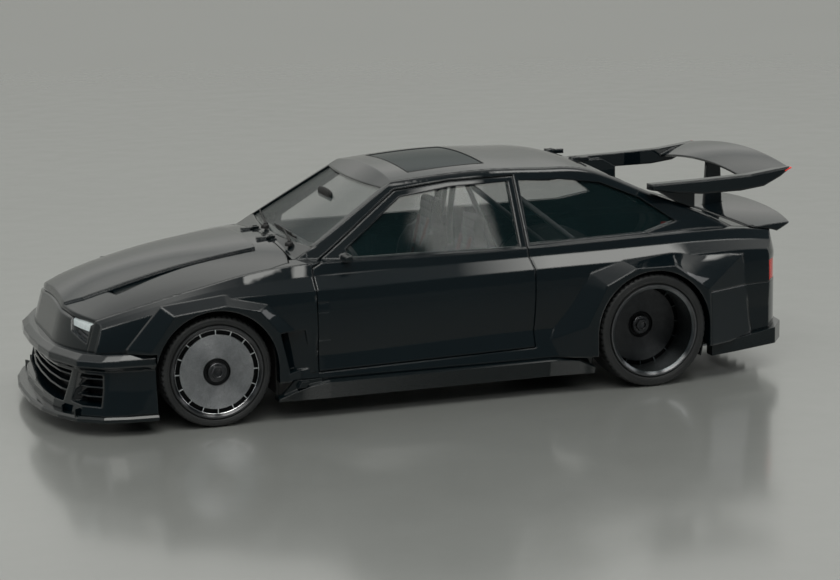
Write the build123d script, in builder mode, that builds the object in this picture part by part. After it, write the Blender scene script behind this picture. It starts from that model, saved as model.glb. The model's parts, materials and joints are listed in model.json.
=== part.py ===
"""Two-door rally car with a fastback hatch, wide arches and a twin-deck rear wing.

X runs forward, Y to the car's left and Z up from the ground. All sizes are in mm.
The origin lies on the ground, midway along and across the car.
"""
from build123d import *
import os

# Overall sizes
WHEELBASE = 2608.0
FRONT_OVERHANG = 945.0
REAR_OVERHANG = 1075.0
GAP = 5.0
SEAT = 0.3
SKIN = 22.0
DOOR_DEPTH = 85.0
PILLAR_DEPTH = 38.0
FLOOR_Z = 130.0

# Wheels
FRONT_TYRE_R = 315.0
REAR_TYRE_R = 337.0
FRONT_TYRE_W = 245.0
REAR_TYRE_W = 305.0
FRONT_FACE_Y = 876.0
REAR_FACE_Y = 958.0
FRONT_RIM_R = 262.0
REAR_RIM_R = 273.0
FRONT_DISH = 14.0
REAR_DISH = 200.0
HUB_BORE_R = 34.0
RUNNING_FIT = 0.05
KINGPIN_R = 12.0

# Wheel arches
FRONT_ARCH_R = 350.0
REAR_ARCH_R = 358.0
FLARE_Y_FRONT = 902.0
FLARE_Y_REAR = 968.0

FRONT_AXLE = (WHEELBASE + REAR_OVERHANG - FRONT_OVERHANG) / 2.0
REAR_AXLE = FRONT_AXLE - WHEELBASE
KINGPIN_Y = FRONT_FACE_Y - FRONT_TYRE_W / 2.0


def front(distance):
    """X of a place ahead of the front axle; behind it where negative."""
    return FRONT_AXLE + distance


def rear(distance):
    """X of a place behind the rear axle; ahead of it where negative."""
    return REAR_AXLE - distance


def along(points, x):
    """Smooth value at x through a short table of (x, value) stations."""
    pts = sorted(points)
    if x <= pts[0][0]:
        return pts[0][1]
    if x >= pts[-1][0]:
        return pts[-1][1]
    slopes = [(b[1] - a[1]) / (b[0] - a[0]) for a, b in zip(pts, pts[1:])]

    def tangent(i):
        if i == 0:
            return slopes[0]
        if i == len(pts) - 1:
            return slopes[-1]
        before, after = slopes[i - 1], slopes[i]
        return 0.0 if before * after <= 0 else 2 * before * after / (before + after)

    i = max(k for k in range(len(pts) - 1) if pts[k][0] <= x)
    h = pts[i + 1][0] - pts[i][0]
    s = (x - pts[i][0]) / h
    return (pts[i][1] * (1 + 2 * s) * (1 - s) ** 2 + tangent(i) * h * s * (1 - s) ** 2
            + pts[i + 1][1] * s * s * (3 - 2 * s) - tangent(i + 1) * h * s * s * (1 - s))


# Lines that run the length of the lower body, as (X, value) stations
TOP_EDGE_Y = [(front(900), 630), (front(628), 668), (front(300), 716), (front(50), 742),
              (front(-360), 750), (front(-700), 765), (rear(-850), 772), (rear(-300), 770),
              (rear(300), 748), (rear(650), 716), (rear(1000), 688)]
TOP_EDGE_Z = [(front(900), 545), (front(628), 620), (front(300), 706), (front(50), 766),
              (front(-360), 845), (front(-581), 862), (front(-1200), 850), (rear(-850), 852),
              (rear(-258), 862), (rear(300), 868), (rear(650), 864), (rear(880), 830), (rear(1000), 800)]
CROWN_Z = [(front(900), 590), (front(746), 668), (front(555), 752), (front(300), 822),
           (front(39), 872), (front(-365), 915), (front(-480), 925), (front(-700), 918),
           (front(-1100), 890), (rear(-850), 880), (rear(650), 888), (rear(880), 850), (rear(1000), 815)]
SHOULDER_Y = [(front(900), 655), (front(628), 700), (front(300), 762), (front(50), 796),
              (front(-360), 790), (front(-700), 786), (rear(-850), 788), (rear(-300), 788),
              (rear(300), 775), (rear(650), 752), (rear(1000), 725)]
SHOULDER_Z = [(front(900), 525), (front(628), 600), (front(300), 690), (front(50), 746),
              (front(-360), 786), (front(-700), 792), (rear(-850), 800), (rear(-300), 806),
              (rear(300), 812), (rear(650), 804), (rear(880), 780), (rear(1000), 765)]
WAIST_Y = [(front(900), 690), (front(628), 728), (front(400), 792), (front(200), 832),
           (front(0), 846), (front(-317), 852), (front(-726), 852), (rear(-580), 852),
           (rear(90), 850), (rear(490), 832), (rear(820), 800), (rear(1000), 775)]
WAIST_Z = [(front(900), 500), (front(628), 575), (front(400), 640), (front(200), 695),
           (front(0), 716), (front(-317), 724), (front(-726), 724), (front(-1381), 732),
           (rear(-580), 740), (rear(90), 745), (rear(490), 750), (rear(820), 735), (rear(1000), 715)]
CREASE_Y = [(front(900), 700), (front(628), 760), (front(400), 820), (front(200), 845),
            (front(0), 850), (front(-595), 852), (rear(-800), 852), (rear(90), 852),
            (rear(490), 838), (rear(820), 800), (rear(1000), 770)]
CREASE_Z = [(front(900), 345), (front(-595), 351), (rear(-800), 382), (rear(1000), 390)]
SILL_Y = [(front(900), 705), (front(628), 765), (front(400), 825), (front(200), 850),
          (front(-300), 860), (front(-600), 866), (front(-1200), 880), (rear(-700), 892),
          (rear(90), 880), (rear(490), 845), (rear(820), 800), (rear(1000), 770)]
SILL_Z = 225.0
SIDE_BULGE = 14.0
STATIONS = [front(900), front(760), front(628), front(500), front(360), front(200), front(0),
            front(-200), front(-400), front(-600), front(-900), front(-1300), rear(-900),
            rear(-500), rear(-150), rear(200), rear(500), rear(800), rear(1000)]


def lower_body(inset, drop, floor):
    """The body below the glass, drawn in from the outer skin by inset, its top lowered by drop."""
    with BuildPart() as body:
        for x in STATIONS:
            sill = (along(SILL_Y, x) - inset, SILL_Z)
            foot = (sill[0] - 30.0, floor)
            crease = (along(CREASE_Y, x) - inset, along(CREASE_Z, x))
            waist = (along(WAIST_Y, x) - inset, along(WAIST_Z, x) - 0.3 * drop)
            shoulder = (along(SHOULDER_Y, x) - inset, along(SHOULDER_Z, x) - 0.6 * drop)
            edge = (along(TOP_EDGE_Y, x) - inset, along(TOP_EDGE_Z, x) - drop)
            middle = ((crease[0] + waist[0]) / 2 + SIDE_BULGE, (crease[1] + waist[1]) / 2)
            with BuildSketch(Plane.YZ.offset(x)):
                with BuildLine():
                    for s in (1, -1):
                        Polyline((s * foot[0], floor), (s * sill[0], SILL_Z), (s * crease[0], crease[1]))
                        ThreePointArc((s * crease[0], crease[1]), (s * middle[0], middle[1]),
                                      (s * waist[0], waist[1]))
                        Polyline((s * waist[0], waist[1]), (s * shoulder[0], shoulder[1]),
                                 (s * edge[0], edge[1]))
                    ThreePointArc(edge, (0, along(CROWN_Z, x) - drop), (-edge[0], edge[1]))
                    Line((-foot[0], floor), foot)
                make_face()
        loft()
    return body.part


# Lines of the glasshouse
BELT_Y = [(front(-400), 690), (front(-600), 715), (front(-740), 745), (front(-1120), 762),
          (front(-1500), 766), (rear(-497), 766), (rear(-180), 764), (rear(66), 752), (rear(297), 718),
          (rear(488), 682), (rear(760), 640)]
RAIL_Y = [(front(-400), 505), (front(-1120), 542), (front(-1500), 562), (front(-1800), 568),
          (rear(-497), 570), (rear(-180), 574), (rear(5), 582), (rear(190), 602), (rear(488), 652),
          (rear(760), 632)]
RAIL_Z = [(front(-400), 1185), (front(-1120), 1252), (front(-1500), 1283), (front(-1800), 1292),
          (rear(-497), 1277), (rear(-180), 1230), (rear(5), 1150), (rear(190), 1070),
          (rear(488), 942), (rear(760), 830)]
ROOF_CROWN_Z = [(front(-400), 1225), (front(-1120), 1290), (front(-1500), 1320), (front(-1800), 1328),
                (rear(-497), 1313), (rear(-180), 1264), (rear(5), 1182), (rear(190), 1100),
                (rear(488), 968), (rear(760), 850)]
BELT_Z = 845.0
SCREEN_BASE = (914.0, front(-510))
SCREEN_TOP = (1243.0, front(-1075))


def glasshouse(inset, floor=800.0):
    """The cabin above the belt, without its slanted front, drawn in by inset."""
    with BuildPart() as house:
        for x, _ in BELT_Y:
            rail_z = along(RAIL_Z, x) - inset
            base = (along(BELT_Y, x) + 10.0 - inset, floor)
            rail = (along(RAIL_Y, x) - 0.9 * inset, rail_z)
            if rail_z < BELT_Z:
                base = (base[0], min(floor, rail_z - 60.0))
            corner = (rail[0] + 0.45 * 26.0, rail[1] - 26.0)
            turn = (rail[0] - 6.0, rail[1] - 3.0)
            inner = (rail[0] - 30.0, rail[1] + 6.0)
            with BuildSketch(Plane.YZ.offset(x)):
                with BuildLine():
                    for s in (1, -1):
                        Line((s * base[0], base[1]), (s * corner[0], corner[1]))
                        ThreePointArc((s * corner[0], corner[1]), (s * turn[0], turn[1]),
                                      (s * inner[0], inner[1]))
                    ThreePointArc(inner, (0, along(ROOF_CROWN_Z, x) - inset), (-inner[0], inner[1]))
                    Line((-base[0], base[1]), base)
                make_face()
        loft()
    return house.part


def behind_screen(inset):
    """All that lies behind the windscreen's bowed surface, moved back by inset."""
    slope = (SCREEN_TOP[1] - SCREEN_BASE[1]) / (SCREEN_TOP[0] - SCREEN_BASE[0])
    with BuildPart() as block:
        for z, bow in ((700.0, 122.0), (1400.0, 92.0)):
            x = SCREEN_BASE[1] + (z - SCREEN_BASE[0]) * slope - inset * 1.98
            with BuildSketch(Plane.XY.offset(z)):
                with BuildLine():
                    ThreePointArc((x - bow, -780), (x, 0), (x - bow, 780))
                    Polyline((x - bow, 780), (rear(900), 780), (rear(900), -780), (x - bow, -780))
                make_face()
        loft(ruled=True)
    return block.part


def side_prism(points, y_low, y_high, grow=0.0):
    """A side-view outline of (X, Z) points, moved out by grow, from y_low to y_high."""
    with BuildPart() as prism:
        with BuildSketch(Plane.XZ.offset(-y_high)):
            with BuildLine():
                Polyline(*points, close=True)
            make_face()
            if grow:
                offset(amount=grow, kind=Kind.INTERSECTION)
        extrude(amount=y_high - y_low)
    return prism.part


def plan_prism(points, z_low, z_high, grow=0.0):
    """A plan-view outline of (X, Y) points for the left half, mirrored and moved out by grow."""
    with BuildPart() as prism:
        with BuildSketch(Plane.XY.offset(z_low)):
            with BuildLine():
                Polyline(*points, *[(x, -y) for x, y in reversed(points) if y > 0], close=True)
            make_face()
            if grow:
                offset(amount=grow, kind=Kind.INTERSECTION)
        extrude(amount=z_high - z_low)
    return prism.part


def front_prism(points, x_low, x_high, grow=0.0):
    """A front-view outline of (Y, Z) points for the left half, mirrored and moved out by grow."""
    with BuildPart() as prism:
        with BuildSketch(Plane.YZ.offset(x_low)):
            with BuildLine():
                Polyline(*points, *[(-y, z) for y, z in reversed(points) if y > 0], close=True)
            make_face()
            if grow:
                offset(amount=grow, kind=Kind.INTERSECTION)
        extrude(amount=x_high - x_low)
    return prism.part


def box(x, y, z):
    """A box between the two ends of each of three pairs, given in either order."""
    x, y, z = sorted(x), sorted(y), sorted(z)
    with BuildPart() as block:
        with Locations(((x[0] + x[1]) / 2, (y[0] + y[1]) / 2, (z[0] + z[1]) / 2)):
            Box(x[1] - x[0], y[1] - y[0], z[1] - z[0])
    return block.part


def pin(x, y, z, radius):
    """A round bar along the one axis that is given as a pair of ends."""
    with BuildPart() as bar:
        if isinstance(x, tuple):
            with Locations(Location(((x[0] + x[1]) / 2, y, z), (0, 90, 0))):
                Cylinder(radius, abs(x[1] - x[0]))
        elif isinstance(y, tuple):
            with Locations(Location((x, (y[0] + y[1]) / 2, z), (90, 0, 0))):
                Cylinder(radius, abs(y[1] - y[0]))
        else:
            with Locations((x, y, (z[0] + z[1]) / 2)):
                Cylinder(radius, abs(z[1] - z[0]))
    return bar.part


def mirrored(part):
    """The right-hand twin of a left-hand piece."""
    return mirror(part, about=Plane.XZ)


def grown(points, amount):
    """An outline of points, moved outwards by amount."""
    with BuildSketch() as sketch:
        with BuildLine():
            Polyline(*points, close=True)
        make_face()
        offset(amount=amount, kind=Kind.INTERSECTION)
    wire = sketch.sketch.faces()[0].outer_wire()
    return [(v.X, v.Y) for v in wire_corners(wire)]


def wire_corners(wire):
    """The corners of a straight-sided wire, in order."""
    return [edge @ 0 for edge in wire.order_edges()]


# Shut lines and openings, as side-view (X, Z) outlines
FENDER_ZONE = [(front(1000), 60), (front(1000), 1000), (front(-588), 1000), (front(-588), 835),
               (front(-585), 262), (front(-585), 60)]
DOOR_OUTLINE = [(front(-590), 262, 866), (front(-593), 835, 762), (front(-660), 868, 745),
                (front(-1150), 1208, 570), (front(-1480), 1243, 575), (rear(-740), 1250, 585),
                (rear(-722), 860, 762), (rear(-720), 288, 875)]
DOOR_SWEEP = 0.24
DOOR_WINDOW = [(front(-812), 868), (front(-812), 915), (front(-1178), 1172), (front(-1483), 1212),
               (rear(-774), 1222), (rear(-764), 862)]
QUARTER_WINDOW = [(rear(-700), 872), (rear(-706), 1222), (rear(-450), 1214), (rear(-193), 1180),
                  (rear(56), 1075), (rear(270), 925), (rear(66), 882)]
SCREEN_WINDOW = [(630, 934), (512, 1222)]
BONNET_OUTLINE = [(front(757), 0), (front(752), 250), (front(712), 500), (front(628), 662), (front(300), 706),
                  (front(50), 730), (front(-360), 738), (front(-470), 700), (front(-500), 560),
                  (front(-500), 0)]
HATCH_OUTLINE = [(rear(-168), 0), (rear(-168), 532), (rear(5), 545), (rear(190), 570), (rear(488), 622),
                 (rear(690), 655), (rear(935), 640), (rear(950), 0)]
HATCH_WINDOW = [(rear(-95), 0), (rear(-95), 480), (rear(190), 505), (rear(450), 540), (rear(450), 0)]
ROOF_OUTLINE = [(front(-1010), 0), (front(-1010), 495), (front(-1116), 520), (front(-1500), 545),
                (rear(-497), 552), (rear(-173), 540), (rear(-173), 0)]
SUNROOF_OUTLINE = [(front(-1290), 0), (front(-1290), 400), (front(-1760), 400), (front(-1760), 0)]


def door_cutter(amount):
    """The door's outline with sides raked so that its rear edge clears as it swings, moved out by amount."""
    with BuildPart() as cutter:
        for y in (430.0, 1000.0):
            points = [(x, z) for x, z, _ in DOOR_OUTLINE]
            shape = grown(points, amount)
            keyed = []
            for x, z in shape:
                near = min(DOOR_OUTLINE, key=lambda p: (p[0] - x) ** 2 + (p[1] - z) ** 2)
                rake = DOOR_SWEEP * (y - near[2]) if near[0] < rear(-800) + 120 else 0.0
                keyed.append((x - rake, z))
            with BuildSketch(Plane.XZ.offset(-y)):
                with BuildLine():
                    Polyline(*keyed, close=True)
                make_face()
        loft(ruled=True)
    return cutter.part


def pane(outline, depth, thick, slack, screen=False):
    """A sheet of the glasshouse at a depth below its skin, inside an outline prism."""
    with BuildPart() as sheet:
        if screen:
            add(behind_screen(depth - slack))
            add(behind_screen(depth + thick + slack), mode=Mode.SUBTRACT)
            add(glasshouse(14.0 - slack, 850.0 - slack), mode=Mode.INTERSECT)
        else:
            add(glasshouse(depth - slack))
            add(glasshouse(depth + thick + slack, 790.0), mode=Mode.SUBTRACT)
        add(outline, mode=Mode.INTERSECT)
    return sheet.part


# Nose and tail envelopes
NOSE_RAKE = 0.30
NOSE_TOP = (660.0, front(748))
NOSE_WALL = 26.0
TAIL_WALL = 30.0


def nose_envelope(extra):
    """All that lies behind the raked and rounded nose, moved forward by extra."""
    with BuildPart() as block:
        for z in (50.0, 1500.0):
            x = NOSE_TOP[1] + (NOSE_TOP[0] - z) * NOSE_RAKE + extra
            with BuildSketch(Plane.XY.offset(z)):
                with BuildLine():
                    Line((x, -250), (x, 250))
                    ThreePointArc((x, 250), (x - 33, 460), (x - 160, 710))
                    Polyline((x - 160, 710), (x - 160, 1100), (rear(1200), 1100),
                             (rear(1200), -1100), (x - 160, -1100), (x - 160, -710))
                    ThreePointArc((x - 160, -710), (x - 33, -460), (x, -250))
                make_face()
        loft(ruled=True)
    return block.part


def tail_envelope(extra):
    """All that lies ahead of the upright, rounded tail, moved back by extra."""
    with BuildPart() as block:
        for z, x in ((50.0, rear(975)), (700.0, rear(975)), (1500.0, rear(785))):
            x -= extra
            with BuildSketch(Plane.XY.offset(z)):
                with BuildLine():
                    Line((x, 420), (x, -420))
                    ThreePointArc((x, -420), (x + 40, -650), (x + 150, -800))
                    Polyline((x + 150, -800), (x + 150, -1100), (front(1100), -1100),
                             (front(1100), 1100), (x + 150, 1100), (x + 150, 800))
                    ThreePointArc((x + 150, 800), (x + 40, 650), (x, 420))
                make_face()
        loft(ruled=True)
    return block.part


def arch(axle, height, radius, y_low, y_high):
    """A wheel arch opening with straight legs down to the ground."""
    with BuildPart() as opening:
        with BuildSketch(Plane.XZ.offset(-y_high)):
            with BuildLine():
                Line((axle - radius, 0), (axle - radius, height))
                ThreePointArc((axle - radius, height), (axle, height + radius), (axle + radius, height))
                Polyline((axle + radius, height), (axle + radius, 0), (axle - radius, 0))
            make_face()
        extrude(amount=y_high - y_low)
    return opening.part


# Flares: an outer outline at the arch lip and a wider one where it meets the side
FRONT_FLARE_LIP = [(front(372), 180), (front(372), 470), (front(236), 655), (front(-60), 688),
                   (front(-250), 640), (front(-385), 480), (front(-405), 180)]
FRONT_FLARE_ROOT = [(front(500), 180), (front(500), 480), (front(300), 705), (front(-60), 740),
                    (front(-340), 690), (front(-545), 512), (front(-545), 180)]
REAR_FLARE_LIP = [(rear(-430), 216), (rear(-425), 400), (rear(-300), 630), (rear(-120), 716),
                  (rear(130), 714), (rear(345), 560), (rear(372), 216)]
REAR_FLARE_ROOT = [(rear(-700), 216), (rear(-691), 293), (rear(-375), 706), (rear(-150), 754),
                   (rear(170), 766), (rear(640), 730), (rear(700), 216)]
FLARE_ROOT_Y = 830.0


def flare(lip, lip_y, root):
    """A faceted flare between two side-view outlines, solid."""
    with BuildPart() as solid:
        for outline, y in ((root, FLARE_ROOT_Y), (lip, lip_y)):
            with BuildSketch(Plane.XZ.offset(-y)):
                with BuildLine():
                    Polyline(*outline, close=True)
                make_face()
        loft(ruled=True)
    return solid.part


# Body skins: one closed outer form, hollowed thinly for panels and deeply for doors and sides
with BuildPart() as outer:
    add(glasshouse(0.0))
    add(behind_screen(0.0), mode=Mode.INTERSECT)
    add(lower_body(0.0, 0.0, FLOOR_Z))
    add(nose_envelope(0.0), mode=Mode.INTERSECT)
    add(tail_envelope(0.0), mode=Mode.INTERSECT)

with BuildPart() as cabin_space:
    add(glasshouse(PILLAR_DEPTH, 780.0))
    add(behind_screen(PILLAR_DEPTH), mode=Mode.INTERSECT)


def hollowed(side, floor):
    """The outer form less a hollow that leaves walls of the given side depth."""
    with BuildPart() as space:
        add(lower_body(side, SKIN, floor))
        add(nose_envelope(-NOSE_WALL), mode=Mode.INTERSECT)
        add(tail_envelope(-TAIL_WALL), mode=Mode.INTERSECT)
        add(cabin_space.part)
    with BuildPart() as shell:
        add(outer.part)
        add(space.part, mode=Mode.SUBTRACT)
    return shell.part


thin_shell = hollowed(SKIN, FLOOR_Z - 30.0)
thick_shell = hollowed(DOOR_DEPTH, FLOOR_Z - 30.0)
under_top_skin = lower_body(0.0, SKIN, FLOOR_Z - 30.0)
under_lids = lower_body(0.0, SKIN + GAP, FLOOR_Z - 30.0)
left_half = box((rear(1300), front(1200)), (0.0, 1200.0), (0.0, 1600.0))

bonnet_zone = plan_prism(BONNET_OUTLINE, 500.0, 1100.0)
bonnet_hole = plan_prism(BONNET_OUTLINE, 500.0, 1100.0, grow=GAP + 1.0)
hatch_zone = plan_prism(HATCH_OUTLINE, 600.0, 1500.0)
hatch_hole = plan_prism(HATCH_OUTLINE, 600.0, 1500.0, grow=GAP + 1.0)
fender_zone = side_prism(FENDER_ZONE, 0.0, 1200.0)
NOSE_SPLIT_Y = 664.0
NOSE_BACK = front(560)
BUMPER_TOP = 452.0
TAIL_SPLIT = 538.0
TAIL_PANEL_Y = 650.0
REAR_BUMPER_FRONT = rear(366)
BUMPER_FOOT = (200.0, 308.0)
COWL_X = (front(-720), front(-506))
COWL_Y = 655.0
COWL_Z = (700.0, 934.0)
LAMP_Z = (548.0, 668.0)
TAIL_LAMP_FRONT = rear(822)
TAIL_LAMP_INNER_Y = 440.0
HEADLAMP_OUTLINE = [(648, 618), (463, 638), (500, 545), (648, 492)]

front_flare = flare(FRONT_FLARE_LIP, FLARE_Y_FRONT, FRONT_FLARE_ROOT)
rear_flare = flare(REAR_FLARE_LIP, FLARE_Y_REAR, REAR_FLARE_ROOT)
front_arch = arch(FRONT_AXLE, FRONT_TYRE_R, FRONT_ARCH_R, 0.0, 1000.0)
rear_arch = arch(REAR_AXLE, REAR_TYRE_R, REAR_ARCH_R, 0.0, 1000.0)


def both_sides(part):
    """A left-hand form joined with its right-hand twin."""
    return part + mirrored(part)


def write(part, name):
    """Label a finished piece and write it as its own file."""
    part.label = name
    export_step(part, f"parts/{name}.step")


os.makedirs("parts", exist_ok=True)

# Lid hinges: an eye on the lid turns on a pin between two lugs of the body
BONNET_HINGE = (front(-497), 930.0)
BONNET_HINGE_Y = 180.0
HATCH_HINGE = (rear(-166), 1275.0)
HATCH_HINGE_Y = 200.0
LID_PIN_R = 4.0
LID_EYE_R = 9.0
LID_EYE_W = 30.0
LUG_W = 12.0
STRAP_L = 70.0


def lid_eyes(hinge, y, ahead):
    """The lid's two hinge straps with their eyes, reaching ahead or behind the pin."""
    with BuildPart() as eyes:
        for s in (1, -1):
            low, high = s * (y - LID_EYE_W / 2), s * (y + LID_EYE_W / 2)
            add(pin(hinge[0], (low, high), hinge[1], LID_EYE_R))
            add(box((hinge[0], hinge[0] + ahead * STRAP_L), (low, high), (hinge[1] - 24.0, hinge[1] + 2.0)))
            add(pin(hinge[0], (low - s, high + s), hinge[1], LID_PIN_R + RUNNING_FIT), mode=Mode.SUBTRACT)
    return eyes.part


def lid_notches(hinge, y, ahead):
    """Room in a lid's edge around the body's hinge lugs."""
    with BuildPart() as notches:
        for s in (1, -1):
            for start in (y - LID_EYE_W / 2 - SEAT - LUG_W - GAP, y + LID_EYE_W / 2):
                add(box((hinge[0] - ahead * 40.0, hinge[0] + ahead * (LID_EYE_R + GAP)),
                        (s * start, s * (start + LUG_W + GAP + SEAT)), (hinge[1] - 60.0, hinge[1] + 40.0)))
    return notches.part


# Bonnet: a raised centre between two long vents
BONNET_RAISE = 13.0
BONNET_CENTRE = [(front(757), 0), (front(757), 300), (front(640), 372), (front(505), 398),
                 (front(300), 402), (front(0), 396), (front(-250), 386), (front(-365), 378),
                 (front(-372), 300), (front(-372), 0)]
BONNET_VENT = [(front(508), 400), (front(470), 486), (front(420), 484), (front(260), 452), (front(60), 424),
               (front(-160), 408), (front(-352), 398), (front(-352), 381), (front(-240), 388),
               (front(0), 398), (front(300), 404)]
with BuildPart() as bonnet:
    add(lower_body(0.0, -BONNET_RAISE, FLOOR_Z))
    add(plan_prism(BONNET_CENTRE, 500.0, 1100.0), mode=Mode.INTERSECT)
    add(thin_shell)
    add(bonnet_zone, mode=Mode.INTERSECT)
    add(nose_envelope(-9.0), mode=Mode.INTERSECT)
    add(under_top_skin, mode=Mode.SUBTRACT)
    with BuildSketch(Plane.XY.offset(600.0)):
        for s in (1, -1):
            with BuildLine():
                Polyline(*[(x, s * y) for x, y in BONNET_VENT], close=True)
            make_face()
    extrude(amount=500.0, mode=Mode.SUBTRACT)
    add(lid_eyes(BONNET_HINGE, BONNET_HINGE_Y, 1))
    add(lid_notches(BONNET_HINGE, BONNET_HINGE_Y, 1), mode=Mode.SUBTRACT)
write(bonnet.part, "bonnet")

# Fenders, with faceted flares, open arches and an air outlet behind the wheel
OUTLET = [(front(-360), 506), (front(-412), 272), (front(-548), 288), (front(-514), 506)]
OUTLET_RAMP = [(front(-400), 800), (front(-548), 866), (front(-572), 866), (front(-572), 836),
               (front(-400), 786)]
OUTLET_Z = (262.0, 516.0)
door_front_room = box((front(-589), front(-577)), (0.0, 856.0), (380.0, 690.0))
with BuildPart() as fender_left:
    add(thin_shell)
    add(front_flare)
    add(fender_zone, mode=Mode.INTERSECT)
    add(left_half, mode=Mode.INTERSECT)
    add(box((front(340), front(1100)), (0.0, 1000.0), (0.0, BUMPER_TOP)), mode=Mode.SUBTRACT)
    add(box((front(-700), front(1100)), (0.0, 1000.0), (0.0, SILL_Z)), mode=Mode.SUBTRACT)
    add(bonnet_hole, mode=Mode.SUBTRACT)
    add(box((NOSE_BACK, front(1100)), (0.0, NOSE_SPLIT_Y + SEAT), (0.0, 1000.0)), mode=Mode.SUBTRACT)
    add(box((front(-2000), front(1000)), (0.0, 660.0), (0.0, 1200.0)), mode=Mode.SUBTRACT)
    add(front_arch, mode=Mode.SUBTRACT)
    add(side_prism(OUTLET, 700.0, 1000.0), mode=Mode.SUBTRACT)
    with BuildSketch(Plane.XY.offset(OUTLET_Z[0])):
        with BuildLine():
            Polyline(*OUTLET_RAMP, close=True)
        make_face()
    extrude(amount=OUTLET_Z[1] - OUTLET_Z[0])
    add(door_front_room, mode=Mode.SUBTRACT)
write(fender_left.part, "fender_left")
write(mirrored(fender_left.part), "fender_right")

# Nose panel between the fenders, with the headlamps let in
with BuildPart() as nose_panel:
    add(thin_shell)
    add(box((NOSE_BACK, front(1100)), (-NOSE_SPLIT_Y, NOSE_SPLIT_Y), (BUMPER_TOP, 1000.0)),
        mode=Mode.INTERSECT)
    add(under_lids, mode=Mode.INTERSECT)
    with BuildSketch(Plane.YZ.offset(front(500))):
        for s in (1, -1):
            with BuildLine():
                Polyline(*[(s * y, z) for y, z in HEADLAMP_OUTLINE], close=True)
            make_face()
    extrude(amount=600.0, mode=Mode.SUBTRACT)
write(nose_panel.part, "nose_panel")

LAMP_INSET = 9.0
LAMP_DEPTH = 70.0
with BuildPart() as headlamps:
    with BuildSketch(Plane.YZ.offset(front(500))):
        for s in (1, -1):
            with BuildLine():
                Polyline(*[(s * y, z) for y, z in grown(HEADLAMP_OUTLINE, -SEAT)], close=True)
            make_face()
    extrude(amount=600.0)
    add(nose_envelope(-LAMP_INSET), mode=Mode.INTERSECT)
    add(nose_envelope(-LAMP_DEPTH), mode=Mode.SUBTRACT)
    add(under_lids, mode=Mode.INTERSECT)
write(headlamps.part, "headlamps")

# Front bumper: a bevelled shelf over a deep intake with louvred corner ducts
BUMPER_PLAN = [(front(893), 0), (front(886), 250), (front(861), 453), (front(800), 620), (front(757), 740),
               (front(640), 840), (front(545), 862), (front(342), 880), (front(342), 0)]
BUMPER_BOTTOM = 112.0
SHELF_BOTTOM = 362.0
SHELF_LEVELS = [(SHELF_BOTTOM, 30.0), (388.0, 0.0), (424.0, 4.0), (BUMPER_TOP - SEAT, 40.0)]
WALL_LEVELS = [(BUMPER_BOTTOM, 0.0), (250.0, 26.0), (SHELF_BOTTOM, 40.0)]


def ringed(plan, levels):
    """A stack of plan outlines, each drawn in by its own amount and joined by straight flanks."""
    with BuildPart() as stack:
        for (low, inset_low), (high, inset_high) in zip(levels, levels[1:]):
            for z, inset in ((low, inset_low), (high, inset_high)):
                shape = [(x - (inset if x > front(500) else 0.0), y - (0.6 * inset if y > 700 else 0.0))
                         for x, y in plan]
                with BuildSketch(Plane.XY.offset(z)):
                    with BuildLine():
                        Polyline(*shape, *[(x, -y) for x, y in reversed(shape) if y > 0], close=True)
                    make_face()
            loft(ruled=True, mode=Mode.ADD)
    return stack.part


INNER_PLAN = [(front(770), 0), (front(765), 380), (front(690), 600), (front(600), 720), (front(330), 790),
              (front(330), 0)]
INTAKE_OUTLINE = [(0, 158), (548, 158), (600, 338), (0, 338)]
CORNER_DUCT = [(622, 172), (812, 166), (790, 336), (655, 342)]
LOUVRE_Z = (205.0, 258.0, 305.0)
LOUVRE_T = 9.0
LOUVRE_PLAN = [(x - 62, y - (34 if y > 700 else 0)) for x, y in BUMPER_PLAN[:6]]
LOUVRE_PLAN += [(front(570), 700), (front(570), 0)]
WALL_PLAN = [(x - (12 if x > front(500) else 0), y) for x, y in BUMPER_PLAN]
with BuildPart() as front_bumper:
    add(ringed(BUMPER_PLAN, SHELF_LEVELS))
    add(ringed(WALL_PLAN, WALL_LEVELS))
    add(plan_prism(INNER_PLAN, 50.0, 600.0), mode=Mode.SUBTRACT)
    add(front_prism(INTAKE_OUTLINE, front(600), front(900)), mode=Mode.SUBTRACT)
    for s in (1, -1):
        with BuildSketch(Plane.YZ.offset(front(575))):
            with BuildLine():
                Polyline(*[(s * y, z) for y, z in CORNER_DUCT], close=True)
            make_face()
        extrude(amount=300.0, mode=Mode.SUBTRACT)
    for z in LOUVRE_Z:
        add(plan_prism(LOUVRE_PLAN, z, z + LOUVRE_T))
    add(plan_prism(INNER_PLAN, LOUVRE_Z[0] - 10.0, LOUVRE_Z[-1] + 25.0), mode=Mode.SUBTRACT)
write(front_bumper.part, "front_bumper")

# Splitter: a broad rounded blade with a raised rim and four strakes
SPLITTER_PLAN = [(front(943), 0), (front(938), 200), (front(908), 420), (front(850), 610), (front(770), 752),
                 (front(640), 850), (front(500), 888), (front(342), 904), (front(342), 0)]
SPLITTER_Z = 82.0
SPLITTER_CHAMFER = 12.0
SPLITTER_STRAKES = [(front(800), 560, 62), (front(735), 700, 40)]
SPLITTER_STRAKE = (110.0, 7.0, 56.0)
with BuildPart() as front_splitter:
    add(plan_prism(SPLITTER_PLAN, SPLITTER_Z, BUMPER_BOTTOM - SEAT))
    top_edges = front_splitter.faces().sort_by(Axis.Z)[-1].edges()
    chamfer(top_edges.filter_by(lambda e: e.center().X > front(345)), SPLITTER_CHAMFER)
    for s in (1, -1):
        for x, y, turn in SPLITTER_STRAKES:
            with Locations(Location((x, s * y, BUMPER_BOTTOM + 10.0), (0, 0, s * turn))):
                Box(*SPLITTER_STRAKE)
    add(ringed([(x + SEAT, y + SEAT) for x, y in WALL_PLAN], WALL_LEVELS), mode=Mode.SUBTRACT)
write(front_splitter.part, "front_splitter")

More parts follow.
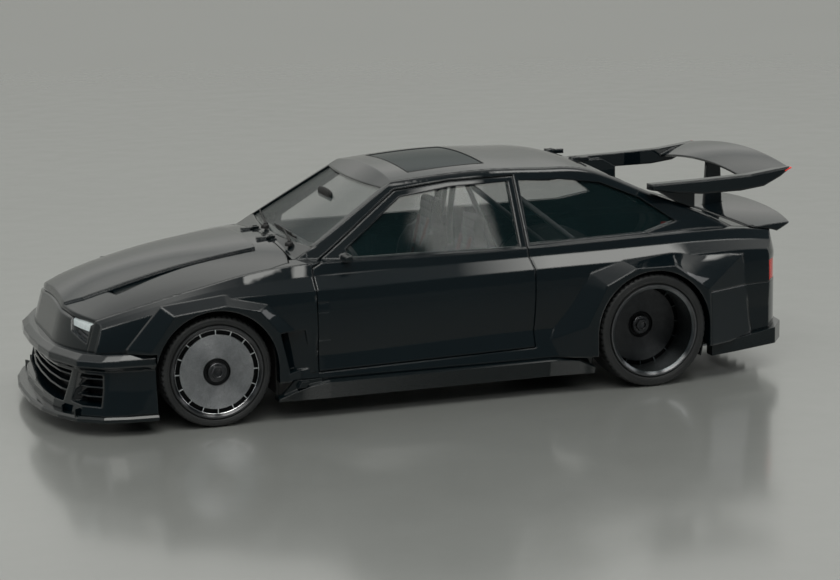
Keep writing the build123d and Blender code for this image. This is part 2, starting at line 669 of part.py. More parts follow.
# Doors, each as thick as the whole door, with a framed window
door_window = side_prism(DOOR_WINDOW, 300.0, 1000.0)
DOOR_HINGE = (front(-648), 846.0)
DOOR_HINGE_Z = ((440.0, 490.0), (600.0, 650.0))
HINGE_PIN_R = 4.5
HINGE_EYE_R = 8.0
HINGE_ROOM = 4.0
MIRROR_POD = [(front(-768), 862), (front(-776), 892), (front(-812), 900), (front(-816), 866)]
MIRROR_POD_Y = (716.0, 822.0)
with BuildPart() as door_left:
    add(thick_shell)
    add(door_cutter(0.0), mode=Mode.INTERSECT)
    add(plan_prism(ROOF_OUTLINE, 1000.0, 1500.0, grow=GAP), mode=Mode.SUBTRACT)
    add(box((front(-760), front(-500)), (0.0, COWL_Y + 2 * GAP), (700.0, 950.0)), mode=Mode.SUBTRACT)
    add(door_window, mode=Mode.SUBTRACT)
    add(pane(side_prism(DOOR_WINDOW, 300.0, 1000.0, grow=8.0 + SEAT), 12.0, 5.0, SEAT), mode=Mode.SUBTRACT)
    add(side_prism(MIRROR_POD, *MIRROR_POD_Y))
    for low, high in DOOR_HINGE_Z:
        add(box((DOOR_HINGE[0] - HINGE_EYE_R - HINGE_ROOM, front(-500)),
                (700.0, DOOR_HINGE[1] + HINGE_EYE_R + HINGE_ROOM), (low - HINGE_ROOM, high + HINGE_ROOM)),
            mode=Mode.SUBTRACT)
        add(pin(DOOR_HINGE[0], DOOR_HINGE[1], (low - 3 * HINGE_ROOM, high + 3 * HINGE_ROOM), HINGE_PIN_R))
write(door_left.part, "door_left")
write(mirrored(door_left.part), "door_right")
door_glass = pane(side_prism(DOOR_WINDOW, 300.0, 1000.0, grow=8.0), 12.0, 5.0, 0.0)
write(door_glass, "door_glass_left")
write(mirrored(door_glass), "door_glass_right")

# Body sides: pillars, roof rails, sills, rear quarters and rear arches
roof_zone = plan_prism(ROOF_OUTLINE, 1000.0, 1500.0)
roof_hole = plan_prism(ROOF_OUTLINE, 1000.0, 1500.0, grow=SEAT)
screen_window = front_prism(SCREEN_WINDOW, front(-1250), front(-400))
screen_rebate = front_prism(SCREEN_WINDOW, front(-1250), front(-400), grow=9.0 + SEAT)
screen_groove = pane(screen_rebate, 8.0, 6.0, SEAT, True)
quarter_window = side_prism(QUARTER_WINDOW, 300.0, 1000.0)
tail_lamp_zone = box((rear(1200), TAIL_LAMP_FRONT), (TAIL_LAMP_INNER_Y, 1000.0), LAMP_Z)
with BuildPart() as body_side_left:
    add(thick_shell)
    add(rear_flare)
    add(left_half, mode=Mode.INTERSECT)
    add(side_prism(FENDER_ZONE, -10.0, 1300.0, grow=SEAT), mode=Mode.SUBTRACT)
    add(door_cutter(GAP + 1.0), mode=Mode.SUBTRACT)
    add(roof_hole, mode=Mode.SUBTRACT)
    add(hatch_hole, mode=Mode.SUBTRACT)
    add(box((COWL_X[0] - SEAT, front(-500)), (-10.0, COWL_Y + SEAT), (COWL_Z[0], COWL_Z[1] + SEAT)),
        mode=Mode.SUBTRACT)
    add(screen_window, mode=Mode.SUBTRACT)
    add(screen_groove, mode=Mode.SUBTRACT)
    add(quarter_window, mode=Mode.SUBTRACT)
    add(pane(side_prism(QUARTER_WINDOW, 300.0, 1000.0, grow=8.0 + SEAT), 9.0, 5.0, SEAT), mode=Mode.SUBTRACT)
    add(rear_arch, mode=Mode.SUBTRACT)
    add(box((rear(1300), REAR_BUMPER_FRONT), (0.0, 1200.0), (0.0, TAIL_SPLIT)), mode=Mode.SUBTRACT)
    add(box((rear(1300), rear(900)), (0.0, TAIL_PANEL_Y + SEAT), (0.0, 1200.0)), mode=Mode.SUBTRACT)
    add(box((rear(1300), TAIL_LAMP_FRONT + SEAT), (TAIL_LAMP_INNER_Y - SEAT, 1000.0),
            (LAMP_Z[0] - SEAT, LAMP_Z[1] + SEAT)), mode=Mode.SUBTRACT)
    add(box((front(-900), front(-500)), (0.0, 560.0), (0.0, 1300.0)), mode=Mode.SUBTRACT)
write(body_side_left.part, "body_side_left")
write(mirrored(body_side_left.part), "body_side_right")

quarter_pane = pane(side_prism(QUARTER_WINDOW, 300.0, 1000.0, grow=8.0), 9.0, 5.0, 0.0)
write(both_sides(quarter_pane), "quarter_glass")
screen_outline = front_prism(SCREEN_WINDOW, front(-1250), front(-400), grow=9.0)
write(pane(screen_outline, 8.0, 6.0, 0.0, True), "windscreen")

# Roof with a let-in sunroof panel
with BuildPart() as roof_panel:
    add(outer.part)
    add(cabin_space.part, mode=Mode.SUBTRACT)
    add(roof_zone, mode=Mode.INTERSECT)
    add(screen_window, mode=Mode.SUBTRACT)
    add(screen_groove, mode=Mode.SUBTRACT)
    add(pane(plan_prism(SUNROOF_OUTLINE, 1000.0, 1500.0, grow=SEAT), -20.0, 28.0, SEAT), mode=Mode.SUBTRACT)
    for s in (1, -1):
        for y in (HATCH_HINGE_Y - LID_EYE_W / 2 - SEAT - LUG_W, HATCH_HINGE_Y + LID_EYE_W / 2 + SEAT):
            add(pin(HATCH_HINGE[0], (s * y, s * (y + LUG_W)), HATCH_HINGE[1], LID_EYE_R))
            add(box((HATCH_HINGE[0] + 44.0, HATCH_HINGE[0]), (s * y, s * (y + LUG_W)),
                    (HATCH_HINGE[1] - 28.0, HATCH_HINGE[1] + 6.0)))
        add(pin(HATCH_HINGE[0], (s * (HATCH_HINGE_Y - LID_EYE_W), s * (HATCH_HINGE_Y + LID_EYE_W)),
                HATCH_HINGE[1], LID_PIN_R))
write(roof_panel.part, "roof_panel")
write(pane(plan_prism(SUNROOF_OUTLINE, 1000.0, 1500.0), 2.0, 6.0, 0.0), "sunroof_panel")

# Hatch frame and glass
hatch_window = plan_prism(HATCH_WINDOW, 800.0, 1500.0)
with BuildPart() as hatch_frame:
    add(thin_shell)
    add(hatch_zone, mode=Mode.INTERSECT)
    add(under_top_skin, mode=Mode.SUBTRACT)
    add(hatch_window, mode=Mode.SUBTRACT)
    add(pane(plan_prism(HATCH_WINDOW, 800.0, 1500.0, grow=10.0 + SEAT), 8.0, 5.0, SEAT), mode=Mode.SUBTRACT)
    add(lid_eyes(HATCH_HINGE, HATCH_HINGE_Y, -1))
    add(lid_notches(HATCH_HINGE, HATCH_HINGE_Y, -1), mode=Mode.SUBTRACT)
write(hatch_frame.part, "hatch_frame")
write(pane(plan_prism(HATCH_WINDOW, 800.0, 1500.0, grow=10.0), 8.0, 5.0, 0.0), "hatch_glass")

# Tail panel, tail lamps and rear bumper
with BuildPart() as tail_panel:
    add(thin_shell)
    add(box((rear(1300), rear(900)), (-TAIL_PANEL_Y, TAIL_PANEL_Y), (TAIL_SPLIT + SEAT, 1200.0)),
        mode=Mode.INTERSECT)
    add(under_lids, mode=Mode.INTERSECT)
    for s in (1, -1):
        zone = box((rear(1300), TAIL_LAMP_FRONT + SEAT),
                   sorted((s * (TAIL_LAMP_INNER_Y - SEAT), s * 1000.0)), (LAMP_Z[0] - SEAT, LAMP_Z[1] + SEAT))
        add(zone, mode=Mode.SUBTRACT)
write(tail_panel.part, "tail_panel")

with BuildPart() as tail_lamp:
    add(thin_shell)
    add(tail_lamp_zone, mode=Mode.INTERSECT)
write(both_sides(tail_lamp.part), "tail_lamps")

with BuildPart() as rear_bumper:
    add(thin_shell)
    add(both_sides(rear_flare))
    add(side_prism([(REAR_BUMPER_FRONT - SEAT, TAIL_SPLIT - SEAT), (REAR_BUMPER_FRONT - SEAT, BUMPER_FOOT[0]),
                    (rear(1300), BUMPER_FOOT[1]), (rear(1300), TAIL_SPLIT - SEAT)], -1200.0, 1200.0),
        mode=Mode.INTERSECT)
write(rear_bumper.part, "rear_bumper")

# Rear diffuser: a blade round the tail that rises rearwards, with upright fins and room for the tailpipes
DIFFUSER_PLAN = [(rear(395), 0), (rear(395), 915), (rear(560), 888), (rear(860), 822), (rear(955), 700),
                 (rear(992), 430), (rear(992), 0)]
DIFFUSER_FOOT = (140.0, 178.0)
TAILPIPE_R = 42.0
TAILPIPE_Y = 300.0
TAILPIPE_Z = 172.0
PIPE_ROOM = 8.0
with BuildPart() as rear_diffuser:
    add(plan_prism(DIFFUSER_PLAN, 100.0, 400.0))
    add(plan_prism([(rear(380), 0), (rear(380), 846), (rear(840), 744), (rear(935), 420), (rear(935), 0)],
                   50.0, 450.0), mode=Mode.SUBTRACT)
    add(side_prism([(REAR_BUMPER_FRONT, DIFFUSER_FOOT[0]), (REAR_BUMPER_FRONT, BUMPER_FOOT[0] - SEAT),
                    (rear(1300), BUMPER_FOOT[1] - SEAT), (rear(1300), DIFFUSER_FOOT[1])], -1200.0, 1200.0),
        mode=Mode.INTERSECT)
    with Locations(*[(rear(950), y, 160.0) for y in (-180.0, -60.0, 60.0, 180.0)]):
        Box(76.0, 7.0, 76.0)
    with BuildSketch(Plane.YZ.offset(rear(1050))):
        with Locations(*[(s * TAILPIPE_Y, TAILPIPE_Z) for s in (1, -1)]):
            Circle(TAILPIPE_R + PIPE_ROOM)
    extrude(amount=300.0, mode=Mode.SUBTRACT)
write(rear_diffuser.part, "rear_diffuser")

# Side skirts: a long blade that dips to a dagger tip, with a short strake behind the front wheel
SKIRT_STATIONS = [(front(-345), 896.0, 130.0), (front(-430), 902.0, 160.0), (front(-520), 908.0, 188.0),
                  (front(-640), 915.0, 205.0), (rear(-640), 922.0, 205.0), (rear(-470), 936.0, 196.0),
                  (rear(-372), 950.0, 150.0)]
SKIRT_INNER_Y = 790.0
SKIRT_STRAKE = [(front(-452), 186), (front(-474), 221), (front(-520), 221), (front(-498), 186)]
SKIRT_STRAKE_Y = (872.0, 906.0)
with BuildPart() as skirt:
    for x, y, edge in SKIRT_STATIONS:
        with BuildSketch(Plane.YZ.offset(x)):
            with BuildLine():
                Polyline((SKIRT_INNER_Y, 110), (y - 16, 112), (y, edge), (y - 30, edge + 9),
                         (SKIRT_INNER_Y, edge + 9), close=True)
            make_face()
    loft(ruled=True)
    add(side_prism([(front(-372), 150), (front(-440), 224.7), (front(-600), 224.7), (front(-600), 150)],
                   SKIRT_INNER_Y, 874.0))
    add(side_prism(SKIRT_STRAKE, *SKIRT_STRAKE_Y))
    add(lower_body(-SEAT, -SEAT, FLOOR_Z - SEAT), mode=Mode.SUBTRACT)
write(both_sides(skirt.part), "side_skirts")

# Rear wing: two long side arms, a bowed upper blade and a central pylon
ARM_Y = (612.0, 690.0)
ARM_PROFILE = [(rear(107), 1120), (rear(107), 1156), (rear(430), 1162), (rear(760), 1174), (rear(1020), 1206),
               (rear(1030), 1198), (rear(960), 1150), (rear(850), 1098), (rear(700), 1080), (rear(434), 1078),
               (rear(250), 1096)]
ARM_EDGE = 14.0
ARM_STEP = 6.0
BRACKET_PROFILE = [(rear(190), 1100), (rear(190), 1140), (rear(330), 1140), (rear(420), 1088),
                   (rear(420), 990), (rear(370), 990)]
BRACKET_Y = (560.0, 616.0)
BLADE_STATIONS = [(-650.0, 50.0, 16.0), (-330.0, 13.0, 4.0), (0.0, 0.0, 0.0), (330.0, 13.0, 4.0),
                  (650.0, 50.0, 16.0)]
PYLON_PROFILE = [(rear(796), 1180), (rear(884), 1200), (rear(900), 860), (rear(776), 860)]
PYLON_Y = 16.0
PYLON_SLOT_X = (rear(906), rear(771))


def bowed_blade(stations, front_edge, top, tail, under, nose):
    """A blade across the car whose section drops and moves forward towards its ends."""
    with BuildPart() as blade:
        for y, drop, ahead in stations:
            with BuildSketch(Plane.XZ.offset(-y)):
                with BuildLine():
                    pts = [(x + ahead, z - drop) for x, z in (front_edge, top, tail, under, nose)]
                    ThreePointArc(pts[0], pts[1], pts[2])
                    end = (pts[2][0] + 1.0, pts[2][1] - 9.0)
                    Line(pts[2], end)
                    ThreePointArc(end, pts[3], pts[4])
                    Line(pts[4], pts[0])
                make_face()
        loft()
    return blade.part


with BuildPart() as quarter_room:
    add(glasshouse(-GAP))
    add(hatch_zone, mode=Mode.SUBTRACT)
with BuildPart() as wing_arm:
    add(side_prism(ARM_PROFILE, ARM_Y[0], ARM_Y[1] - ARM_EDGE))
    add(side_prism(ARM_PROFILE, ARM_Y[1] - ARM_EDGE - 1.0, ARM_Y[1], grow=-ARM_STEP))
    add(side_prism(BRACKET_PROFILE, *BRACKET_Y))
with BuildPart() as wing:
    add(both_sides(wing_arm.part))
    add(bowed_blade(BLADE_STATIONS, (rear(778), 1178), (rear(900), 1226), (rear(1036), 1254),
                    (rear(900), 1206), (rear(782), 1166)))
    add(side_prism(PYLON_PROFILE, -PYLON_Y, PYLON_Y))
    add(glasshouse(-SEAT), mode=Mode.SUBTRACT)
    add(lower_body(-SEAT, -SEAT, FLOOR_Z), mode=Mode.SUBTRACT)
    add(quarter_room.part, mode=Mode.SUBTRACT)
write(wing.part, "wing")

# Lip spoiler: a bowed ducktail over the tail panel
LIP_STATIONS = [(-700.0, 42.0, 66.0), (-350.0, 10.0, 12.0), (0.0, 0.0, 0.0), (350.0, 10.0, 12.0),
                (700.0, 42.0, 66.0)]
with BuildPart() as deck_room:
    add(lower_body(-GAP, -GAP, FLOOR_Z))
    add(hatch_zone, mode=Mode.SUBTRACT)
with BuildPart() as lip_spoiler:
    add(bowed_blade(LIP_STATIONS, (rear(662), 872), (rear(870), 902), (rear(1074), 916),
                    (rear(960), 850), (rear(664), 780)))
    add(lower_body(-SEAT, -SEAT, FLOOR_Z), mode=Mode.SUBTRACT)
    add(glasshouse(-SEAT), mode=Mode.SUBTRACT)
    add(deck_room.part, mode=Mode.SUBTRACT)
    add(box(PYLON_SLOT_X, (-PYLON_Y - 2.0, PYLON_Y + 2.0), (0.0, 1200.0)), mode=Mode.SUBTRACT)
write(lip_spoiler.part, "lip_spoiler")

# Cabin floor with the front wheel tubs
PAN = 14.0
TUB_INNER_R = 12.0
FRONT_TUB_Y = (405.0, 760.0)
REAR_TUB_Y = (614.0, 756.0)
REAR_FLOOR_Z = 425.0
BOOT_FLOOR_Z = 245.0


def tub(axle, height, radius, reach, leg):
    """A half-round wheel tub with one closed inner wall."""
    with BuildPart() as form:
        with BuildSketch(Plane.XZ.offset(-reach[1])):
            with BuildLine():
                Line((axle - radius - PAN, leg), (axle - radius - PAN, height))
                ThreePointArc((axle - radius - PAN, height), (axle, height + radius + PAN),
                              (axle + radius + PAN, height))
                Polyline((axle + radius + PAN, height), (axle + radius + PAN, leg),
                         (axle - radius - PAN, leg))
            make_face()
        extrude(amount=reach[1] - reach[0])
        with BuildSketch(Plane.XZ.offset(-reach[1] - 1.0)):
            with BuildLine():
                Line((axle - radius, leg - 1), (axle - radius, height))
                ThreePointArc((axle - radius, height), (axle, height + radius), (axle + radius, height))
                Polyline((axle + radius, height), (axle + radius, leg - 1), (axle - radius, leg - 1))
            make_face()
        extrude(amount=reach[1] - reach[0] + 1.0 - TUB_INNER_R, mode=Mode.SUBTRACT)
    return form.part


front_tub = tub(FRONT_AXLE, FRONT_TYRE_R, FRONT_ARCH_R + 12.0, FRONT_TUB_Y, FLOOR_Z)
rear_tub = tub(REAR_AXLE, REAR_TYRE_R, REAR_ARCH_R + 6.0, REAR_TUB_Y, 200.0)
FLOOR_STEP = rear(-366)
TUNNEL_Y = 616.0
JACK_PAD = (80.0, 60.0, 12.0)
JACK_PAD_PLACES = [(front(-700), 690.0), (rear(-600), 690.0)]
with BuildPart() as cabin_floor:
    add(box((rear(-500), front(-590)), (-1000.0, 1000.0), (FLOOR_Z, FLOOR_Z + PAN)))
    add(lower_body(DOOR_DEPTH + SEAT, SKIN, FLOOR_Z - 30.0), mode=Mode.INTERSECT)
    add(box((FLOOR_STEP + SEAT, rear(-510)), (-735.0, 735.0), (FLOOR_Z, FLOOR_Z + PAN)))
    add(box((front(-590), front(330)), (-FRONT_TUB_Y[0] - TUB_INNER_R, FRONT_TUB_Y[0] + TUB_INNER_R),
            (FLOOR_Z, FLOOR_Z + PAN)))
    add(both_sides(front_tub))
    for s in (1, -1):
        for x, y in JACK_PAD_PLACES:
            add(box((x - JACK_PAD[0] / 2, x + JACK_PAD[0] / 2),
                    (s * (y - JACK_PAD[1] / 2), s * (y + JACK_PAD[1] / 2)),
                    (FLOOR_Z - JACK_PAD[2], FLOOR_Z + 1.0)))
        wall = (s * (FRONT_TUB_Y[0] - 1.0), s * (FRONT_TUB_Y[0] + TUB_INNER_R + 1.0))
        add(box((front(-62), front(62)), wall, (FLOOR_Z + PAN, 270.0)), mode=Mode.SUBTRACT)
        add(box((front(-62), front(62)), wall, (430.0, 500.0)), mode=Mode.SUBTRACT)
write(cabin_floor.part, "cabin_floor")

# Rear floor: a step up over the axle, the boot floor and the rear tubs
BOOT_PLAN = [(rear(326), 0), (rear(326), TUNNEL_Y), (rear(868), TUNNEL_Y), (rear(905), 480), (rear(905), 0)]
with BuildPart() as rear_floor:
    add(box((rear(-352), FLOOR_STEP), (-TUNNEL_Y, TUNNEL_Y), (FLOOR_Z, REAR_FLOOR_Z + PAN)))
    add(box((rear(340), rear(-352)), (-TUNNEL_Y, TUNNEL_Y), (REAR_FLOOR_Z, REAR_FLOOR_Z + PAN)))
    add(box((rear(340), rear(326)), (-TUNNEL_Y, TUNNEL_Y), (BOOT_FLOOR_Z, REAR_FLOOR_Z)))
    add(plan_prism(BOOT_PLAN, BOOT_FLOOR_Z, BOOT_FLOOR_Z + PAN))
    add(both_sides(rear_tub))
    for s in (1, -1):
        wall = (s * (REAR_TUB_Y[0] - 3.0), s * (REAR_TUB_Y[0] + TUB_INNER_R + 1.0))
        add(box((rear(70), rear(-70)), wall, (150.0, 415.0)), mode=Mode.SUBTRACT)
write(rear_floor.part, "rear_floor")

# Front bulkhead with the cowl panel under the windscreen
WALL_X = (front(-569), front(-557))
WALL_Y = 735.0
with BuildPart() as cowl:
    add(thin_shell)
    add(box(COWL_X, (-COWL_Y, COWL_Y), COWL_Z), mode=Mode.INTERSECT)
with BuildPart() as upper_wall:
    add(box(WALL_X, (-COWL_Y, COWL_Y), (COWL_Z[0] - 10.0, COWL_Z[1] + 16.0)))
    add(under_top_skin, mode=Mode.INTERSECT)
with BuildPart() as front_bulkhead:
    add(box(WALL_X, (-WALL_Y, WALL_Y), (FLOOR_Z + PAN + SEAT, COWL_Z[0])))
    for s in (1, -1):
        add(box((WALL_X[0], front(-532)), (s * COWL_Y, s * WALL_Y), (FLOOR_Z + PAN + SEAT, COWL_Z[0])))
    add(upper_wall.part)
    add(cowl.part)
    add(screen_groove, mode=Mode.SUBTRACT)
    for low, high in DOOR_HINGE_Z:
        with BuildSketch(Plane.XY.offset(low)):
            for s in (1, -1):
                with BuildLine():
                    Polyline((front(-569), s * 730), (front(-545), s * 730), (front(-552), s * 752),
                             (DOOR_HINGE[0] + 7, s * 808), (DOOR_HINGE[0] + 7, s * (DOOR_HINGE[1] - 3)),
                             (DOOR_HINGE[0] - 7, s * (DOOR_HINGE[1] - 3)), (DOOR_HINGE[0] - 7, s * 798),
                             (front(-569), s * 742), close=True)
                make_face()
                with Locations((DOOR_HINGE[0], s * DOOR_HINGE[1])):
                    Circle(HINGE_EYE_R)
                    Circle(HINGE_PIN_R + RUNNING_FIT, mode=Mode.SUBTRACT)
        extrude(amount=high - low)
    for s in (1, -1):
        for y in (BONNET_HINGE_Y - LID_EYE_W / 2 - SEAT - LUG_W, BONNET_HINGE_Y + LID_EYE_W / 2 + SEAT):
            add(pin(BONNET_HINGE[0], (s * y, s * (y + LUG_W)), BONNET_HINGE[1], LID_EYE_R))
            add(box((BONNET_HINGE[0] - 36.0, BONNET_HINGE[0] - 2.0), (s * y, s * (y + LUG_W)),
                    (BONNET_HINGE[1] - 26.0, BONNET_HINGE[1] + LID_EYE_R - 1.0)))
        add(pin(BONNET_HINGE[0], (s * (BONNET_HINGE_Y - LID_EYE_W), s * (BONNET_HINGE_Y + LID_EYE_W)),
                BONNET_HINGE[1], LID_PIN_R))
write(front_bulkhead.part, "front_bulkhead")

# Engine block
with BuildPart() as engine_block:
    add(box((front(-520), front(-20)), (-230.0, 230.0), (232.0 + SEAT, 700.0)))
write(engine_block.part, "engine_block")

# Front subframe with upper and lower arms, ball pins and coil-over struts
ARM_LOW_Z = (160.0, 186.0)
ARM_HIGH_Z = (446.0, 468.0)
KNUCKLE_Z = (196.0, 436.0)
STRUT_Y = 522.0
STRUT_R = 38.0
with BuildPart() as front_subframe:
    add(box((front(-60), front(60)), (-400.0, 400.0), (FLOOR_Z + PAN + SEAT, 232.0)))
    for s in (1, -1):
        add(box((front(-24), front(24)), (s * 390.0, s * KINGPIN_Y), ARM_LOW_Z))
        add(pin(front(0), s * KINGPIN_Y, ARM_LOW_Z, 24.0))
        add(box((front(-22), front(22)), (s * 380.0, s * KINGPIN_Y), ARM_HIGH_Z))
        add(pin(front(0), s * KINGPIN_Y, ARM_HIGH_Z, 22.0))
        add(box((front(-60), front(60)), (s * 360.0, s * 400.0), (232.0, 500.0)))
        with Locations((front(0), s * KINGPIN_Y, (ARM_LOW_Z[1] + KNUCKLE_Z[0]) / 2 + 12.0)):
            Cylinder(KINGPIN_R, KNUCKLE_Z[0] - ARM_LOW_Z[1] + 24.0)
        with Locations((front(0), s * KINGPIN_Y, (ARM_HIGH_Z[0] + KNUCKLE_Z[1]) / 2 - 12.0)):
            Cylinder(KINGPIN_R, ARM_HIGH_Z[0] - KNUCKLE_Z[1] + 24.0)
        with BuildSketch(Plane.XY.offset(ARM_LOW_Z[1])):
            with Locations((front(0), s * STRUT_Y)):
                Circle(STRUT_R)
        extrude(amount=FRONT_TYRE_R + FRONT_ARCH_R + 12.0 - 2.4 - ARM_LOW_Z[1])
write(front_subframe.part, "front_subframe")


def wheel_plane(x):
    """The upright plane across the car at X, where wheel sections are drawn."""
    return Plane.YZ.offset(x)


def spin_axis(x, radius):
    """The axle line of a wheel that stands on the ground."""
    return Axis((x, 0, radius), (0, 1, 0))


def tyre(x, face, width, tyre_r, rim_r):
    """A low-profile tyre as one ring, its tread shoulders rounded off by flats."""
    bead = rim_r - 16.0 + SEAT
    half = [(14.0, bead), (14.0, rim_r + 5.0), (4.0, rim_r + 10.0), (2.0, tyre_r - 24.0),
            (12.0, tyre_r - 8.0), (34.0, tyre_r)]
    points = [(face - y, tyre_r + r) for y, r in half]
    points += [(face - width + y, tyre_r + r) for y, r in reversed(half)]
    with BuildPart() as ring:
        with BuildSketch(wheel_plane(x)):
            with BuildLine():
                Polyline(*points, close=True)
            make_face()
        revolve(axis=spin_axis(x, tyre_r))
    return ring.part


RIM_SLOT_W = 25.0
RIM_SLOT_D = 17.0
RIM_FINS = 16
RIM_FIN_W = 5.0


def rim(x, face, width, tyre_r, rim_r, dish, disc_y):
    """A wheel rim: flanged barrel, finned disc and hub in one turned piece, with a brake disc behind."""
    well = rim_r - 16.0
    inner = rim_r - 25.0
    back = face - width
    web = face - dish
    slot = inner - RIM_SLOT_W
    outline = [(back, rim_r), (back + 14 - SEAT, rim_r), (back + 14 - SEAT, well), (face - 14 + SEAT, well),
               (face - 14 + SEAT, rim_r), (face - 2, rim_r), (face - 2, rim_r - 9), (face - 14, inner),
               (web - RIM_SLOT_D, inner), (web - RIM_SLOT_D, slot), (web, slot - 2), (web, 78), (web - 7, 72),
               (web - 7, 58), (web + 8, 54), (web + 8, HUB_BORE_R),
               (disc_y - 4, HUB_BORE_R), (disc_y - 4, 76), (disc_y, 76), (disc_y, 165), (disc_y + 24, 165),
               (disc_y + 24, 76), (web - 34, 76), (web - 30, inner - 3), (back, inner - 3)]
    with BuildPart() as turned:
        with BuildSketch(wheel_plane(x)):
            with BuildLine():
                Polyline(*[(y, tyre_r + r) for y, r in outline], close=True)
            make_face()
        revolve(axis=spin_axis(x, tyre_r))
        with BuildSketch(Plane(origin=(x, web - 1.5, tyre_r), x_dir=(1, 0, 0), z_dir=(0, -1, 0))):
            with PolarLocations((slot + inner) / 2, RIM_FINS):
                Rectangle(inner - slot + 6.0, RIM_FIN_W)
        extrude(amount=RIM_SLOT_D - 1.0)
    return turned.part


FRONT_DISC_Y = 785.0
REAR_DISC_Y = 690.0
front_tyre = tyre(FRONT_AXLE, FRONT_FACE_Y, FRONT_TYRE_W, FRONT_TYRE_R, FRONT_RIM_R)
front_rim = rim(FRONT_AXLE, FRONT_FACE_Y, FRONT_TYRE_W, FRONT_TYRE_R, FRONT_RIM_R, FRONT_DISH, FRONT_DISC_Y)
rear_tyre = tyre(REAR_AXLE, REAR_FACE_Y, REAR_TYRE_W, REAR_TYRE_R, REAR_RIM_R)
rear_rim = rim(REAR_AXLE, REAR_FACE_Y, REAR_TYRE_W, REAR_TYRE_R, REAR_RIM_R, REAR_DISH, REAR_DISC_Y)
for part, name in ((front_tyre, "tyre_front"), (front_rim, "rim_front"), (rear_tyre, "tyre_rear"),
                   (rear_rim, "rim_rear")):
    write(part, name + "_left")
    write(mirrored(part), name + "_right")

# Knuckles with stub axles
with BuildPart() as knuckle_left:
    with BuildSketch(wheel_plane(front(0))):
        with BuildLine():
            Polyline((FRONT_DISC_Y - 85, KNUCKLE_Z[0]), (FRONT_DISC_Y - 10, KNUCKLE_Z[0]),
                     (FRONT_DISC_Y - 10, KNUCKLE_Z[1]), (FRONT_DISC_Y - 85, KNUCKLE_Z[1]), close=True)
        make_face()
    extrude(amount=42.0, both=True)
    with BuildSketch(Plane.XZ.offset(-(FRONT_FACE_Y - 12.0))):
        with Locations((front(0), FRONT_TYRE_R)):
            Circle(HUB_BORE_R - RUNNING_FIT)
    extrude(amount=FRONT_FACE_Y - 12.0 - FRONT_DISC_Y + 10.0)
    with Locations((front(0), KINGPIN_Y, FRONT_TYRE_R)):
        Cylinder(KINGPIN_R + RUNNING_FIT, 400.0, mode=Mode.SUBTRACT)
write(knuckle_left.part, "knuckle_left")
write(mirrored(knuckle_left.part), "knuckle_right")

# Rear axle with trailing arms and stub shafts
AXLE_R = 44.0
with BuildPart() as rear_axle:
    with BuildSketch(Plane.XZ.offset(-(REAR_DISC_Y - 12.0))):
        with Locations((rear(0), REAR_TYRE_R)):
            Circle(AXLE_R)
    extrude(amount=2 * (REAR_DISC_Y - 12.0))
    with BuildSketch(Plane.XZ.offset(-(REAR_FACE_Y - REAR_DISH + 4.0))):
        with Locations((rear(0), REAR_TYRE_R)):
            Circle(HUB_BORE_R - RUNNING_FIT)
    extrude(amount=2 * (REAR_FACE_Y - REAR_DISH + 4.0))
    with BuildSketch(Plane.XZ.offset(-90.0)):
        with Locations((rear(0), REAR_TYRE_R - 10.0)):
            Circle(90.0)
    extrude(amount=180.0)
    for s in (1, -1):
        add(box((rear(-352 + SEAT), rear(0)), (s * 430.0, s * 480.0), (290.0, 340.0)))
        add(box((rear(-30), rear(30)), (s * 360.0, s * 420.0), (330.0, REAR_FLOOR_Z - SEAT)))
write(rear_axle.part, "rear_axle")

# Exhaust
PIPE_R = 28.0
with BuildPart() as exhaust:
    with BuildSketch(Plane.YZ.offset(rear(520))):
        with Locations((-240.0, FLOOR_Z - SEAT - PIPE_R)):
            Circle(PIPE_R)
    extrude(amount=front(-500) - rear(520))
    add(box((rear(500), rear(760)), (-440.0, 440.0), (88.0, BOOT_FLOOR_Z - SEAT)))
    with BuildSketch(Plane.YZ.offset(rear(1000))):
        for s in (1, -1):
            with Locations((s * TAILPIPE_Y, TAILPIPE_Z)):
                Circle(TAILPIPE_R)
    extrude(amount=260.0)
    with BuildSketch(Plane.YZ.offset(rear(1000))):
        for s in (1, -1):
            with Locations((s * TAILPIPE_Y, TAILPIPE_Z)):
                Circle(TAILPIPE_R - 4.0)
    extrude(amount=150.0, mode=Mode.SUBTRACT)
write(exhaust.part, "exhaust")

# Dashboard and steering wheel
DASH = [(WALL_X[0] - SEAT, 560), (WALL_X[0] - SEAT, 815), (front(-640), 845), (front(-800), 845),
        (front(-830), 800), (front(-800), 640), (front(-720), 560)]
COLUMN_PLANE = Plane(origin=(front(-990), 370, 711), x_dir=(0, 1, 0), z_dir=(1, 0, -0.35))
WHEEL_RIM = 26.0
with BuildPart() as dashboard:
    add(side_prism(DASH, -636.0, 636.0))
    add(box((front(-830), WALL_X[0] - SEAT), (-60.0, 60.0), (FLOOR_Z + PAN + SEAT, 600.0)))
    with BuildSketch(COLUMN_PLANE.offset(WHEEL_RIM + SEAT)):
        Circle(22.0)
    extrude(amount=190.0)
write(dashboard.part, "dashboard")

with BuildPart() as steering_wheel:
    with BuildSketch(COLUMN_PLANE):
        Circle(180.0)
        Circle(150.0, mode=Mode.SUBTRACT)
        for angle in (30, 150, 270):
            with Locations(Location((0, 0, 0), angle)):
                Rectangle(158.0, 28.0, align=(Align.MIN, Align.CENTER))
        Circle(45.0)
    extrude(amount=WHEEL_RIM)
write(steering_wheel.part, "steering_wheel")

